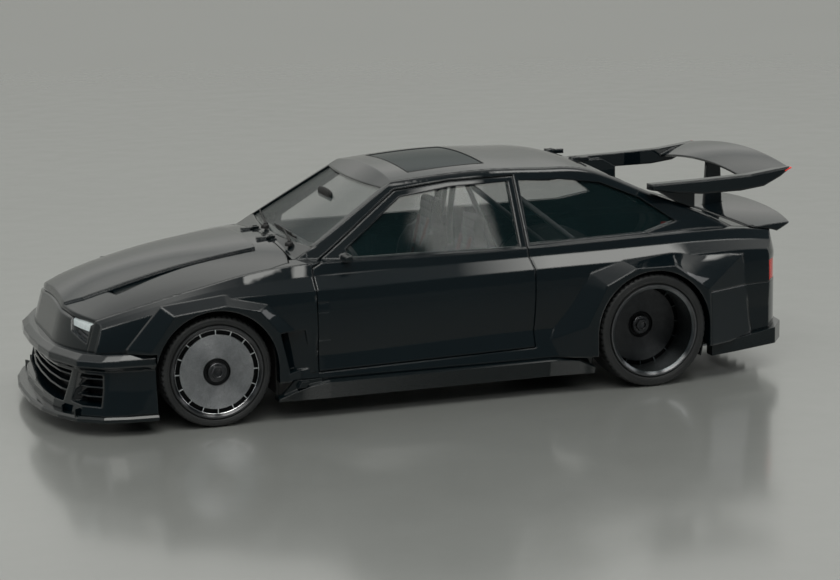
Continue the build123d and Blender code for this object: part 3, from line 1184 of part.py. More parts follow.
# Bucket seats, with side bolsters, shoulders and a narrow head rest
SEAT_SIDE = [(front(-1080), 144.5), (front(-1080), 325), (front(-1130), 356), (front(-1300), 340),
             (front(-1480), 318), (front(-1548), 352), (front(-1600), 640), (front(-1650), 860),
             (front(-1662), 1010), (front(-1692), 1038), (front(-1735), 1020), (front(-1742), 860),
             (front(-1700), 500), (front(-1640), 144.5)]
SEAT_BOLSTER = [(front(-1140), 200), (front(-1120), 380), (front(-1180), 408), (front(-1440), 392),
                (front(-1510), 470), (front(-1545), 700), (front(-1600), 820), (front(-1690), 820),
                (front(-1640), 200)]
SEAT_FRONT = [(0, 140), (232, 140), (232, 560), (244, 760), (228, 838), (150, 866), (128, 880), (120, 1010),
              (96, 1045), (0, 1045)]
SEAT_Y = 380.0
BOLSTER_W = 62.0
with BuildPart() as seat:
    add(side_prism(SEAT_SIDE, -250.0, 250.0))
    for s in (1, -1):
        add(side_prism(SEAT_BOLSTER, *sorted((s * (232.0 - BOLSTER_W), s * 250.0))))
    add(front_prism(SEAT_FRONT, front(-1800), front(-1000)), mode=Mode.INTERSECT)
with BuildPart() as seats:
    for s in (1, -1):
        with Locations((0, s * SEAT_Y, 0)):
            add(seat.part)
write(seats.part, "seats")

# Roll cage: main hoop with its diagonals, back stays, roof rails, screen legs and door bars
TUBE_R = 19.0
HOOP_X = rear(-690)
BACK_FOOT = (rear(120), 588, REAR_FLOOR_Z + PAN + SEAT)


def tube(points, radius=TUBE_R, bend=0.0):
    """A round tube through points, with bent or mitred corners."""
    with BuildPart() as bar:
        with BuildLine() as line:
            if bend:
                FilletPolyline(*points, radius=bend)
            else:
                Polyline(*points)
        with BuildSketch(Plane(origin=line.line @ 0, z_dir=line.line % 0)):
            Circle(radius)
        sweep(path=line.line, transition=Transition.ROUND)
    return bar.part


with BuildPart() as roll_cage:
    add(tube([(HOOP_X, 640, 145.2), (HOOP_X, 660, 820), (HOOP_X, 500, 1215), (HOOP_X, -500, 1215),
              (HOOP_X, -660, 820), (HOOP_X, -640, 145.2)], bend=90))
    add(tube([(HOOP_X, 648, 400), (HOOP_X, -500, 1200)], TUBE_R - 3))
    for s in (1, -1):
        add(tube([(HOOP_X, s * 538, 1120), (BACK_FOOT[0], s * BACK_FOOT[1], BACK_FOOT[2] + 19)], TUBE_R - 1))
        with Locations((BACK_FOOT[0], s * BACK_FOOT[1], BACK_FOOT[2] + 6)):
            Box(64.0, 44.0, 12.0)
write(roll_cage.part, "roll_cage")
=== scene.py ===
"""Looks, light and camera for the two-door rally car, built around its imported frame."""
import json
import math

import bmesh
import bpy
from mathutils import Matrix, Vector
from mathutils.bvhtree import BVHTree


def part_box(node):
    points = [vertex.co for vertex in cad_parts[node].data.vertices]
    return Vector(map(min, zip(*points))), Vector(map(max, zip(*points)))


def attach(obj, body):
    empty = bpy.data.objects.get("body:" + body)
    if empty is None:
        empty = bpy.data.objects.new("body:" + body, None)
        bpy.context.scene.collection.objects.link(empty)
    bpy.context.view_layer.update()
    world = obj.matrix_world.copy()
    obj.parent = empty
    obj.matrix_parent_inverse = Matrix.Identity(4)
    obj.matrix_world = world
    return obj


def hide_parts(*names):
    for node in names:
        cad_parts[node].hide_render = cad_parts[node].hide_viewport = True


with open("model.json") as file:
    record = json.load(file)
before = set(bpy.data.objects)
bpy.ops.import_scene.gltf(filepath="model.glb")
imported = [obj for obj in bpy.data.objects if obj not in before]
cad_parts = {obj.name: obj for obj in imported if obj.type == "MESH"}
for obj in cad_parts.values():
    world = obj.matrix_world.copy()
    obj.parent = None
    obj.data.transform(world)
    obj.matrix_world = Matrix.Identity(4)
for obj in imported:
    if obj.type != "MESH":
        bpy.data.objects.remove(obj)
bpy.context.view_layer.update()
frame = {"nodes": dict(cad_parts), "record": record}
NODES = frame["nodes"]


def axle(end):
    """An axle's X and its tyres' radius, read from the frame."""
    low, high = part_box(f"tyre_{end}_left")
    return (low.x + high.x) / 2, (high.z - low.z) / 2


# Driving places; every X in this file is measured from an axle
SIDES = {"left": 1, "right": -1}
FRONT_X, FRONT_R = axle("front")
REAR_X, REAR_R = axle("rear")

# Photo camera: place from the front axle, turns in radians, lens and sensor in millimetres
CAMERA_PLACE = (2.874, 12.82, 3.187)
CAMERA_YAW = 0.328
CAMERA_PITCH = 0.196
CAMERA_ROLL = -0.019
CAMERA_LENS = 97.37
CAMERA_SENSOR = 36.0
CAMERA_FAR = 200.0


def new_object(name, data):
    """An object linked into the scene."""
    made = bpy.data.objects.new(name, data)
    bpy.context.collection.objects.link(made)
    return made


def photo_camera():
    """The camera at the photograph's view."""
    cy, sy = math.cos(CAMERA_YAW), math.sin(CAMERA_YAW)
    cp, sp = math.cos(CAMERA_PITCH), math.sin(CAMERA_PITCH)
    look = Vector((-sy * cp, -cy * cp, -sp))
    level = Vector((-cy, sy, 0.0))
    up = level.cross(look)
    c, s = math.cos(CAMERA_ROLL), math.sin(CAMERA_ROLL)
    right, top = c * level + s * up, c * up - s * level
    data = bpy.data.cameras.new("photo_camera")
    data.lens = CAMERA_LENS
    data.sensor_width = CAMERA_SENSOR
    data.clip_end = CAMERA_FAR
    camera = new_object("photo_camera", data)
    camera.matrix_world = Matrix.Translation(Vector(CAMERA_PLACE) + Vector((FRONT_X, 0, 0))) @ Matrix(
        (right, top, -look)).transposed().to_4x4()
    bpy.context.scene.camera = camera


# Materials
NOISE_LOW, NOISE_HIGH = 0.3, 0.7
BEVEL_SAMPLES = 6


def new_material(name, values):
    """A node material and its shader, with the given shader inputs set."""
    material = bpy.data.materials.new(name)
    material.use_nodes = True
    shader = material.node_tree.nodes["Principled BSDF"]
    for key, value in values.items():
        shader.inputs[key].default_value = value
    return material, material.node_tree, shader


def feed(tree, shader, sockets):
    """Links outputs to the shader's named inputs."""
    for key, socket in sockets.items():
        tree.links.new(socket, shader.inputs[key])


def object_place(tree):
    """The object-space place of a surface point."""
    return tree.nodes.new("ShaderNodeTexCoord").outputs["Object"]


def noise(tree, scale, detail=3.0, stretch=(1.0, 1.0, 1.0)):
    """A noise texture in object space."""
    mapping = tree.nodes.new("ShaderNodeMapping")
    mapping.inputs["Scale"].default_value = stretch
    texture = tree.nodes.new("ShaderNodeTexNoise")
    texture.inputs["Scale"].default_value = scale
    texture.inputs["Detail"].default_value = detail
    tree.links.new(object_place(tree), mapping.inputs["Vector"])
    tree.links.new(mapping.outputs["Vector"], texture.inputs["Vector"])
    return texture.outputs["Fac"]


def spread(tree, value, low, high, start=NOISE_LOW, end=NOISE_HIGH):
    """Maps a value's part from start to end onto a range."""
    node = tree.nodes.new("ShaderNodeMapRange")
    node.inputs["From Min"].default_value = start
    node.inputs["From Max"].default_value = end
    node.inputs["To Min"].default_value = low
    node.inputs["To Max"].default_value = high
    tree.links.new(value, node.inputs["Value"])
    return node.outputs["Result"]


def ramp(tree, value, stops):
    """A colour ramp over a value, with (place, colour) stops."""
    node = tree.nodes.new("ShaderNodeValToRGB")
    elements = node.color_ramp.elements
    while len(elements) < len(stops):
        elements.new(0.5)
    for element, (place, colour) in zip(elements, stops):
        element.position = place
        element.color = (*colour, 1.0)
    tree.links.new(value, node.inputs["Fac"])
    return node.outputs["Color"]


def blend(tree, value, dark, light):
    """A colour from dark to light over a noise value."""
    return ramp(tree, value, [(NOISE_LOW, dark), (NOISE_HIGH, light)])


def maths(tree, operation, first, second=None):
    """One step of arithmetic on values or numbers."""
    node = tree.nodes.new("ShaderNodeMath")
    node.operation = operation
    for socket, value in zip(node.inputs, (first, second)):
        if value is None:
            continue
        if isinstance(value, (int, float)):
            socket.default_value = value
        else:
            tree.links.new(value, socket)
    return node.outputs[0]


def within(tree, value, low, high):
    """One where a value lies between two numbers, or else nought."""
    above = maths(tree, "GREATER_THAN", value, low)
    return maths(tree, "MULTIPLY", above, maths(tree, "LESS_THAN", value, high))


def coordinates(tree):
    """The object-space X, Y and Z of a surface point."""
    split = tree.nodes.new("ShaderNodeSeparateXYZ")
    tree.links.new(object_place(tree), split.inputs["Vector"])
    return split.outputs["X"], split.outputs["Y"], split.outputs["Z"]


def mix_colour(tree, share, first, second):
    """A blend of two colours or colour outputs by a share."""
    node = tree.nodes.new("ShaderNodeMix")
    node.data_type = "RGBA"
    for socket, value in ((node.inputs[0], share), (node.inputs[6], first), (node.inputs[7], second)):
        if isinstance(value, tuple):
            socket.default_value = (*value, 1.0)
        else:
            tree.links.new(value, socket)
    return node.outputs[2]


def bump(tree, shader, height, distance, soften=0.0):
    """Feeds a height into the shader's normal, over edges that read as rounded by soften metres."""
    node = tree.nodes.new("ShaderNodeBump")
    node.inputs["Distance"].default_value = distance
    tree.links.new(height, node.inputs["Height"])
    if soften:
        rounded = tree.nodes.new("ShaderNodeBevel")
        rounded.samples = BEVEL_SAMPLES
        rounded.inputs["Radius"].default_value = soften
        tree.links.new(rounded.outputs["Normal"], node.inputs["Normal"])
        tree.links.new(rounded.outputs["Normal"], shader.inputs["Coat Normal"])
    tree.links.new(node.outputs["Normal"], shader.inputs["Normal"])


def surface(name, dark, light, rough, grain, grain_height, metallic=0.0, coat=0.0, coat_rough=0.05, patch=2.0,
            specular=0.5, stretch=(1.0, 1.0, 1.0), soften=0.0):
    """A worn, varied opaque surface between two colours and two roughnesses, with a fine grain."""
    material, tree, shader = new_material(name, {
        "Metallic": metallic, "Specular IOR Level": specular,
        "Coat Weight": coat, "Coat Roughness": coat_rough})
    fine = noise(tree, grain, 4.0, stretch)
    feed(tree, shader, {"Base Color": blend(tree, noise(tree, patch, 6.0, stretch), dark, light),
                        "Roughness": spread(tree, fine, *rough)})
    bump(tree, shader, fine, grain_height, soften)
    return material


GLASS_ROUGH = (0.015, 0.035)
GLASS_SMEAR = 1.25


def glass(name, tint, alpha, gloss=1.0):
    """Smoked glass that shows what is behind it."""
    material, tree, shader = new_material(name, {
        "Specular IOR Level": 0.25 * gloss, "Coat Weight": gloss, "Coat Roughness": 0.01})
    smear = noise(tree, 3.0, 5.0)
    feed(tree, shader, {"Base Color": blend(tree, smear, tint, tuple(c * GLASS_SMEAR for c in tint)),
                        "Roughness": spread(tree, smear, *GLASS_ROUGH),
                        "Alpha": spread(tree, noise(tree, 1.5), alpha - 0.02, alpha + 0.03)})
    material.surface_render_method = "BLENDED"
    return material


def glowing(name, colour, strength):
    """A lit lens or light guide with fine streaks."""
    material, tree, shader = new_material(name, {"Emission Strength": strength, "Coat Weight": 1.0})
    lines = noise(tree, 60.0, 2.0, (1.0, 4.0, 0.3))
    tint = blend(tree, lines, tuple(c * 0.75 for c in colour), colour)
    feed(tree, shader, {"Base Color": tint, "Emission Color": tint,
                        "Roughness": spread(tree, lines, 0.12, 0.3)})
    return material


# Wheel metal: the radius in metres that its tones run over, the fins' ring as shares of the tyre's radius,
# how deep the painted light on a fin's outer face goes, and the Y of the wheel's face. The ring tones hold
# painted shade in the grooves, the fin slot and the rear wheel's deep dish, and painted highlights on its lip
RING_SPAN = 0.32
FIN_RING = (0.665, 0.757)
FIN_PAINTED_LIGHT_DEPTH = 0.006
FACE_Y = {"front": 0.862, "rear": 0.758}
# Front ring tones: the grooves near the hub and the fin slot are near black, painted shade in these recesses
FRONT_TONES_AND_SHADE = [(0.0, 0.06), (0.056, 0.07), (0.06, 0.03), (0.074, 0.03), (0.08, 0.34), (0.20, 0.42),
               (0.2095, 0.44), (0.2115, 0.012), (0.2375, 0.012), (0.240, 0.05), (0.250, 0.07), (0.255, 0.12),
               (0.262, 0.10)]
# Rear ring tones: the dark centre and disc are painted shade of the deep dish; the paler lip bands are
# painted highlights
REAR_TONES_SHADE_AND_HIGHLIGHTS = [(0.0, 0.04), (0.056, 0.05), (0.06, 0.015), (0.074, 0.015), (0.08, 0.055), (0.215, 0.07),
              (0.2215, 0.05), (0.2235, 0.006), (0.2475, 0.008), (0.249, 0.12), (0.256, 0.14), (0.262, 0.10),
              (0.266, 0.22), (0.273, 0.12)]


def wheel_metal(name, axle_x, radius, face_y, tones_and_painted_light, painted_fin_light):
    """Spun metal whose tone follows the wheel's rings, with painted shade in its grooves, fin slot and rear
    dish, painted highlights on the rear lip, and painted light on the fins' outer faces.
    """
    material, tree, shader = new_material(name, {
        "Metallic": 1.0, "Anisotropic": 0.85, "Anisotropic Rotation": 0.25})
    x, y, z = coordinates(tree)
    across = maths(tree, "SUBTRACT", x, axle_x)
    upright = maths(tree, "SUBTRACT", z, radius)
    reach = maths(tree, "SQRT", maths(tree, "ADD", maths(tree, "MULTIPLY", across, across),
                                      maths(tree, "MULTIPLY", upright, upright)))
    # The ring stops carry the metal's tone together with the painted shade and highlights
    stops = [(r / RING_SPAN, (tone, tone, tone * 1.04)) for r, tone in tones_and_painted_light]
    rings = ramp(tree, maths(tree, "DIVIDE", reach, RING_SPAN), stops)
    worn = spread(tree, noise(tree, 25.0, 5.0), 0.82, 1.08)
    shade = tree.nodes.new("ShaderNodeVectorMath")
    shade.operation = "SCALE"
    tree.links.new(rings, shade.inputs[0])
    tree.links.new(worn, shade.inputs["Scale"])
    # The fins' outer faces take painted light: a bright painted glint on the front wheel, painted shade on
    # the rear
    in_ring = within(tree, reach, radius * FIN_RING[0], radius * FIN_RING[1])
    at_face = maths(tree, "GREATER_THAN", maths(tree, "ABSOLUTE", y), face_y - FIN_PAINTED_LIGHT_DEPTH)
    painted_fin_light_mask = maths(tree, "MULTIPLY", in_ring, at_face)
    tangent = tree.nodes.new("ShaderNodeTangent")
    tangent.direction_type = "RADIAL"
    tangent.axis = "Y"
    spun = noise(tree, 1400.0, 2.0, (1.0, 0.05, 1.0))
    feed(tree, shader, {"Base Color": mix_colour(tree, painted_fin_light_mask, shade.outputs[0], painted_fin_light),
                        "Roughness": spread(tree, spun, 0.24, 0.33), "Tangent": tangent.outputs[0]})
    return material


# Tail lamps: how far out the pale reversing block runs, and the lens colours
PALE_BLOCK_Y = (0.655, 0.728)
LENS_REDS = ((0.26, 0.009, 0.006), (0.52, 0.028, 0.018))
LENS_PALE = (0.42, 0.40, 0.38)


def wave(tree, direction, scale):
    """Parallel bands in object space."""
    node = tree.nodes.new("ShaderNodeTexWave")
    node.bands_direction = direction
    node.inputs["Scale"].default_value = scale
    tree.links.new(object_place(tree), node.inputs["Vector"])
    return node.outputs["Fac"]


def tail_lens(name):
    """Red lens with fine ribs, and a pale reversing block beside the tail panel."""
    material, tree, shader = new_material(name, {
        "Emission Strength": 0.16, "Specular IOR Level": 0.15, "Coat Weight": 0.25, "Coat Roughness": 0.02})
    ribs = wave(tree, "Z", 32.0)
    red = ramp(tree, ribs, list(zip((0.0, 1.0), LENS_REDS)))
    pale = within(tree, maths(tree, "ABSOLUTE", coordinates(tree)[1]), *PALE_BLOCK_Y)
    colour = mix_colour(tree, pale, red, LENS_PALE)
    feed(tree, shader, {"Base Color": colour, "Emission Color": colour,
                        "Roughness": spread(tree, noise(tree, 30.0), 0.08, 0.16)})
    bump(tree, shader, ribs, 0.0006)
    return material


THREAD_SCALE = 320.0


def woven(name, dark, light):
    """Woven seat cloth with crossed threads and soft sheen."""
    material, tree, shader = new_material(name, {"Sheen Weight": 0.25})
    threads = [wave(tree, direction, THREAD_SCALE) for direction in ("DIAGONAL", "Z")]
    faded = spread(tree, noise(tree, 7.0, 5.0), 0.0, 1.0)
    feed(tree, shader, {"Base Color": ramp(tree, faded, [(0.0, dark), (1.0, light)]),
                        "Roughness": spread(tree, noise(tree, 60.0), 0.75, 0.95)})
    bump(tree, shader, maths(tree, "MULTIPLY", *threads), 0.0005)
    return material


# Each surface: dark and light colour, roughness range, grain scale and grain height in metres
PAINT = surface("body_lacquer", (0.0003, 0.0026, 0.0042), (0.0008, 0.0040, 0.0058), (0.30, 0.42), 900.0,
                0.000006, coat=1.0, coat_rough=0.018, patch=1.2, specular=0.05, soften=0.014)
TRIM = surface("gloss_black_trim", (0.0012, 0.0032, 0.0044), (0.003, 0.006, 0.0072), (0.22, 0.38), 260.0,
               0.00001, coat=0.8, specular=0.1, soften=0.004)
UNDERSEAL = surface("underseal", (0.012, 0.012, 0.013), (0.03, 0.03, 0.03), (0.6, 0.85), 300.0, 0.0006)
GLASS = glass("smoked_glass", (0.008, 0.024, 0.026), 0.17)
SCREEN_GLASS = glass("screen_glass", (0.008, 0.026, 0.028), 0.24)
ROOF_GLASS = glass("roof_glass", (0.002, 0.010, 0.012), 0.94, gloss=0.12)
# Wheel metals with painted light: a bright painted glint on the front fins; the rear wheel's darker tones and
# fins are painted shade of its deep dish
FRONT_WHEEL_PAINTED_LIGHT = wheel_metal("front_wheel_metal_painted_light", FRONT_X, FRONT_R, FACE_Y["front"], FRONT_TONES_AND_SHADE,
                          (0.82, 0.83, 0.85))
REAR_WHEEL_PAINTED_LIGHT = wheel_metal("rear_wheel_metal_painted_light", REAR_X, REAR_R, FACE_Y["rear"], REAR_TONES_SHADE_AND_HIGHLIGHTS, (0.10, 0.11, 0.115))
NUT_METAL = surface("nut_metal", (0.05, 0.05, 0.053), (0.10, 0.10, 0.105), (0.25, 0.42), 300.0, 0.00003,
                    metallic=1.0, patch=20.0)
RUBBER = surface("tyre_rubber", (0.009, 0.0095, 0.010), (0.017, 0.0175, 0.018), (0.42, 0.60), 500.0, 0.00008,
                 specular=0.45, patch=9.0)
SEAL = surface("seal_rubber", (0.004, 0.004, 0.0045), (0.008, 0.008, 0.008), (0.45, 0.65), 350.0, 0.00005,
               specular=0.35)
STEEL = surface("machined_steel", (0.28, 0.28, 0.29), (0.4, 0.4, 0.41), (0.25, 0.4), 300.0, 0.00003,
                metallic=1.0)
CAST = surface("cast_metal", (0.045, 0.045, 0.048), (0.08, 0.08, 0.084), (0.5, 0.7), 220.0, 0.0004,
               metallic=0.6)
CABIN = surface("cabin_plastic", (0.014, 0.014, 0.015), (0.024, 0.024, 0.025), (0.5, 0.65), 700.0, 0.0002)
CLOTH = woven("seat_cloth", (0.014, 0.0145, 0.016), (0.028, 0.029, 0.031))
PIPING = surface("seat_piping", (0.05, 0.05, 0.052), (0.08, 0.08, 0.082), (0.55, 0.7), 400.0, 0.0001)
WEBBING = surface("belt_webbing", (0.05, 0.006, 0.006), (0.09, 0.012, 0.011), (0.6, 0.8), 700.0, 0.0003,
                  stretch=(1.0, 6.0, 1.0))
CAGE = surface("cage_paint", (0.05, 0.052, 0.055), (0.075, 0.078, 0.08), (0.35, 0.5), 200.0, 0.00003)
RED_LAMP = tail_lens("red_lens")
LENS = glass("lamp_lens", (0.03, 0.035, 0.04), 0.30)
LIGHT_BAR = glowing("light_bar", (0.62, 0.68, 0.68), 0.55)
MARKER = glowing("red_marker", (0.70, 0.03, 0.02), 0.5)
MESH_WIRE = surface("intake_mesh", (0.006, 0.006, 0.007), (0.014, 0.014, 0.015), (0.4, 0.6), 300.0, 0.00005,
                    metallic=0.4)

SLOT_MATERIAL = {"body_paint": PAINT, "dark_trim": TRIM, "underbody": UNDERSEAL, "window_glass": GLASS,
                 "lamp_front": LENS, "lamp_rear": RED_LAMP, "wheel_metal": FRONT_WHEEL_PAINTED_LIGHT, "tyre": RUBBER,
                 "machined_steel": STEEL, "cast_metal": CAST, "cabin_trim": CABIN, "seat_cloth": CLOTH,
                 "cage_paint": CAGE}


def dress_nodes():
    """Gives every CAD node the procedural material of its slot."""
    for part in frame["record"]["subparts"]:
        node = NODES[part["node"]]
        node.data.materials.clear()
        node.data.materials.append(SLOT_MATERIAL[part["material_slot"]])
    for name, material in (("sunroof_panel", ROOF_GLASS), ("windscreen", SCREEN_GLASS),
                           ("rim_rear_left", REAR_WHEEL_PAINTED_LIGHT), ("rim_rear_right", REAR_WHEEL_PAINTED_LIGHT)):
        NODES[name].data.materials[0] = material


# Forms: pairs of points and faces
def turned(centre, profile, count, closed=True, change=None):
    """A profile of (y, reach) pairs turned about an axle along Y."""
    points, faces = [], []
    for i in range(count):
        angle = 2 * math.pi * i / count
        for k, (y, reach) in enumerate(profile):
            r = change(i, k, reach) if change else reach
            points.append((centre[0] + r * math.cos(angle), y, centre[1] + r * math.sin(angle)))
    size = len(profile)
    for i in range(count):
        j = (i + 1) % count
        for k in range(size if closed else size - 1):
            m = (k + 1) % size
            faces.append((i * size + k, i * size + m, j * size + m, j * size + k))
    return points, faces


def dome_form(place, axis, profile, count, start=None):
    """An open turned form about an axis through a place, from (height, reach) pairs."""
    along = Vector(axis).normalized()
    side = Vector(start or along.orthogonal()).normalized()
    other = along.cross(side)
    points, faces = [], []
    size = len(profile)
    for i in range(count):
        angle = 2 * math.pi * i / count
        out = side * math.cos(angle) + other * math.sin(angle)
        points += [place + along * height + out * reach for height, reach in profile]
    for i in range(count):
        j = (i + 1) % count
        faces += [(i * size + k, i * size + k + 1, j * size + k + 1, j * size + k) for k in range(size - 1)]
    return points, faces


def unload(form):
    """The points and faces of a bmesh, which is then freed."""
    form.verts.index_update()
    points = [vert.co.copy() for vert in form.verts]
    faces = [tuple(vert.index for vert in face.verts) for face in form.faces]
    form.free()
    return points, faces


def bevelled_box(low, high, bevel):
    """A box between two corners, with bevelled edges."""
    form = bmesh.new()
    bmesh.ops.create_cube(form, size=1.0)
    for vert in form.verts:
        vert.co = Vector([(low[i] + high[i]) / 2 + vert.co[i] * (high[i] - low[i]) for i in range(3)])
    bmesh.ops.bevel(form, geom=list(form.edges), offset=bevel, segments=2, affect="EDGES")
    return unload(form)


def tube_form(path, radius, sides, closed=False, flat=1.0, up=Vector((0, 0, 1))):
    """A tube along a path of points; flat squeezes it along the up direction."""
    count = len(path)
    points, faces = [], []
    for i, place in enumerate(path):
        before = path[(i - 1) % count] if closed or i else place
        after = path[(i + 1) % count] if closed or i < count - 1 else place
        along = (after - before).normalized()
        side = along.cross(up).normalized()
        top = side.cross(along).normalized()
        r = radius[i] if isinstance(radius, (list, tuple)) else radius
        for k in range(sides):
            angle = 2 * math.pi * k / sides
            points.append(place + side * (r * math.cos(angle)) + top * (r * flat * math.sin(angle)))
    for i in range(count if closed else count - 1):
        j = (i + 1) % count
        for k in range(sides):
            m = (k + 1) % sides
            faces.append((i * sides + k, i * sides + m, j * sides + m, j * sides + k))
    if not closed:
        faces.append(tuple(range(sides)))
        faces.append(tuple(range((count - 1) * sides, count * sides)))
    return points, faces


def strap_form(path, width, thickness):
    """A flat strap along (place, normal, across) triples."""
    points, faces = [], []
    for place, normal, across in path:
        half = across * (width / 2)
        lift = normal * thickness
        points += [place - half, place + half, place + half + lift, place - half + lift]
    for i in range(len(path) - 1):
        a, b = 4 * i, 4 * i + 4
        faces += [(a + k, a + (k + 1) % 4, b + (k + 1) % 4, b + k) for k in range(4)]
    end = 4 * (len(path) - 1)
    faces += [(0, 3, 2, 1), (end, end + 1, end + 2, end + 3)]
    return points, faces


def joined(forms):
    """Several forms as one."""
    points, faces = [], []
    for more_points, more_faces in forms:
        start = len(points)
        points += more_points
        faces += [tuple(i + start for i in face) for face in more_faces]
    return points, faces


def mirrored_form(form):
    """A form's twin on the other side of the car."""
    points, faces = form
    return [(p[0], -p[1], p[2]) for p in points], [tuple(reversed(face)) for face in faces]


def between(a, b, share):
    """A value part of the way from a to b."""
    return a + (b - a) * share


def line(ends):
    """The height along a straight line between two (y, z) ends, as a function of y."""
    (y0, z0), (y1, z1) = ends
    return lambda y: z0 + (z1 - z0) * (y - y0) / (y1 - y0)


# Piece making: when two points are one, how far ahead of the axle a ray starts, and where rays go
SAME_PLACE = 1e-6
AHEAD = 1.5
DOWN = (0, 0, -1)
BACK = (-1, 0, 0)


def add_piece(name, form, material, body, crease=35.0):
    """A mesh piece that rides on a body, smooth apart from edges sharper than crease degrees."""
    points, faces = form
    mesh = bpy.data.meshes.new(name)
    mesh.from_pydata([tuple(p) for p in points], [], faces)
    work = bmesh.new()
    work.from_mesh(mesh)
    bmesh.ops.remove_doubles(work, verts=work.verts, dist=SAME_PLACE)
    bmesh.ops.recalc_face_normals(work, faces=work.faces)
    work.to_mesh(mesh)
    work.free()
    mesh.polygons.foreach_set("use_smooth", [True] * len(mesh.polygons))
    mesh.set_sharp_from_angle(angle=math.radians(crease))
    mesh.materials.append(material)
    piece = new_object(name, mesh)
    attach(piece, body)
    return piece


def mesh_tree(mesh):
    """A search tree over a mesh's faces."""
    return BVHTree.FromPolygons([v.co.copy() for v in mesh.vertices],
                                [tuple(p.vertices) for p in mesh.polygons])


def caster(*meshes):
    """A ray caster over meshes at rest, which gives the nearest place and normal, or None twice."""
    trees = [mesh_tree(mesh) for mesh in meshes]

    def cast(origin, direction):
        best = None
        for tree in trees:
            place, normal, _, distance = tree.ray_cast(Vector(origin), Vector(direction))
            if place is not None and (best is None or distance < best[2]):
                best = (place, normal, distance)
        return best[:2] if best else (None, None)

    return cast


def node_caster(*names):
    """A ray caster over CAD nodes."""
    return caster(*[NODES[name].data for name in names])


# Tyres, in metres from the tyre's outer face or rim; the groove places are shares of the width
TREAD_GROOVES = (0.24, 0.41, 0.59, 0.76)
GROOVE_HALF = 0.0045
GROOVE_TAPER = 0.7
GROOVE_DEPTH = 0.007
PITCHES = 60
SLOT_STEPS = 6
SLOT_WIDE = 2
SLOT_DEPTH = 0.0045
SLOT_START = 0.0125
SLOT_EASE = 0.006
SHOULDER_REACH = 0.045


def tyre(end, side):
    """A tyre with rounded shoulders, ribbed sidewalls, tread grooves and shoulder slots."""
    node = f"tyre_{end}_{side}"
    low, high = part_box(node)
    rim_low, rim_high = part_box(f"rim_{end}_{side}")
    reach = (high.z - low.z) / 2
    rim = (rim_high.z - rim_low.z) / 2
    width = high.y - low.y
    wall = [(0.012, rim - 0.0155), (0.012, rim + 0.003), (0.0080, rim + 0.006), (0.0035, rim + 0.0095),
            (0.0012, rim + 0.015), (0.0004, rim + 0.020), (0.0014, rim + 0.021), (0.0014, rim + 0.0225),
            (0.0002, rim + 0.0235), (0.0, reach - 0.024), (0.0012, reach - 0.018), (0.0038, reach - 0.0125),
            (0.0080, reach - 0.0075), (0.014, reach - 0.0038), (0.022, reach - 0.0016),
            (0.032, reach - 0.0005), (0.040, reach)]
    tread = []
    for share in TREAD_GROOVES:
        for half, depth in ((-1, 0), (-GROOVE_TAPER, GROOVE_DEPTH), (GROOVE_TAPER, GROOVE_DEPTH), (1, 0)):
            tread.append((share * width + GROOVE_HALF * half, reach - depth))
    outline = wall + tread + [(width - d, r) for d, r in reversed(wall)]

    def slotted(i, k, r):
        d = min(outline[k][0], width - outline[k][0])
        if d > SHOULDER_REACH or r < reach - SLOT_START or i % SLOT_STEPS >= SLOT_WIDE:
            return r
        return r - SLOT_DEPTH * min(1.0, (r - reach + SLOT_START) / SLOT_EASE)

    centre = ((low.x + high.x) / 2, (low.z + high.z) / 2)
    profile = [(low.y + d, r) for d, r in outline]
    form = turned(centre, profile, PITCHES * SLOT_STEPS, change=slotted)
    piece = add_piece(f"tyre_carcass_{end}_{side}", form, RUBBER, f"{end}_{side}_wheel", 28.0)
    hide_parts(node)


# Centre nuts: sides, steps a side, the wheel's hub face, and levels of (out, reach, whether six-sided)
NUT_SIDES = 6
NUT_STEPS = 8
NUT_CORNER = 1.13
HUB_Y = {"front": 0.870, "rear": 0.766}
NUT_LEVELS = ((-0.004, 0.052, False), (0.003, 0.052, False), (0.005, 0.049, False), (0.005, 0.041, False),
              (0.006, 0.036, True), (0.021, 0.036, True), (0.025, 0.033, True), (0.025, 0.023, False),
              (0.023, 0.021, False), (0.010, 0.019, False), (0.008, 0.010, False), (0.008, 0.0008, False))


def hub_nut(end, side):
    """A six-sided centre nut with a collar and a hollow middle, on the wheel's hub face."""
    low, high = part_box(f"rim_{end}_{side}")
    centre = ((low.x + high.x) / 2, (low.z + high.z) / 2)
    profile = [(SIDES[side] * (HUB_Y[end] + out), r) for out, r, _ in NUT_LEVELS]

    def cornered(i, k, r):
        if not NUT_LEVELS[k][2]:
            return r
        turn = (i % NUT_STEPS) / NUT_STEPS * 2 * math.pi / NUT_SIDES - math.pi / NUT_SIDES
        return r * min(1.0 / math.cos(turn), NUT_CORNER)

    form = turned(centre, profile, NUT_SIDES * NUT_STEPS, closed=False, change=cornered)
    add_piece(f"centre_nut_{end}_{side}", form, NUT_METAL, f"{end}_{side}_wheel", 25.0)


# Headlamps: the lens's top and foot lines as (y, z) ends, then each insert's ends in Y and its depth
LAMP_TOP = ((0.648, 0.618), (0.463, 0.638))
LAMP_FOOT = ((0.648, 0.492), (0.500, 0.545))
LENS_TRIES = 10
LENS_FALLBACK = 0.70
PANEL_ROWS = 4
PANEL_THICK = 0.006
PANEL_ROUND = 0.003
BAR_ENDS = (0.642, 0.480)
BAR_BAND = (0.003, 0.064)
BAR_DEPTH = 0.003
STRIP_ENDS = (0.632, 0.548)
STRIP_RISES = (0.012, 0.034)
STRIP_HEIGHT = 0.013
STRIP_DEPTH = 0.006
BOWL_ENDS = (0.644, 0.492)
BOWL_INNER_Y = 0.505
BOWL_INSET = (0.005, 0.004)
BOWL_DEPTH = 0.045
BOWL_RIB = 0.002


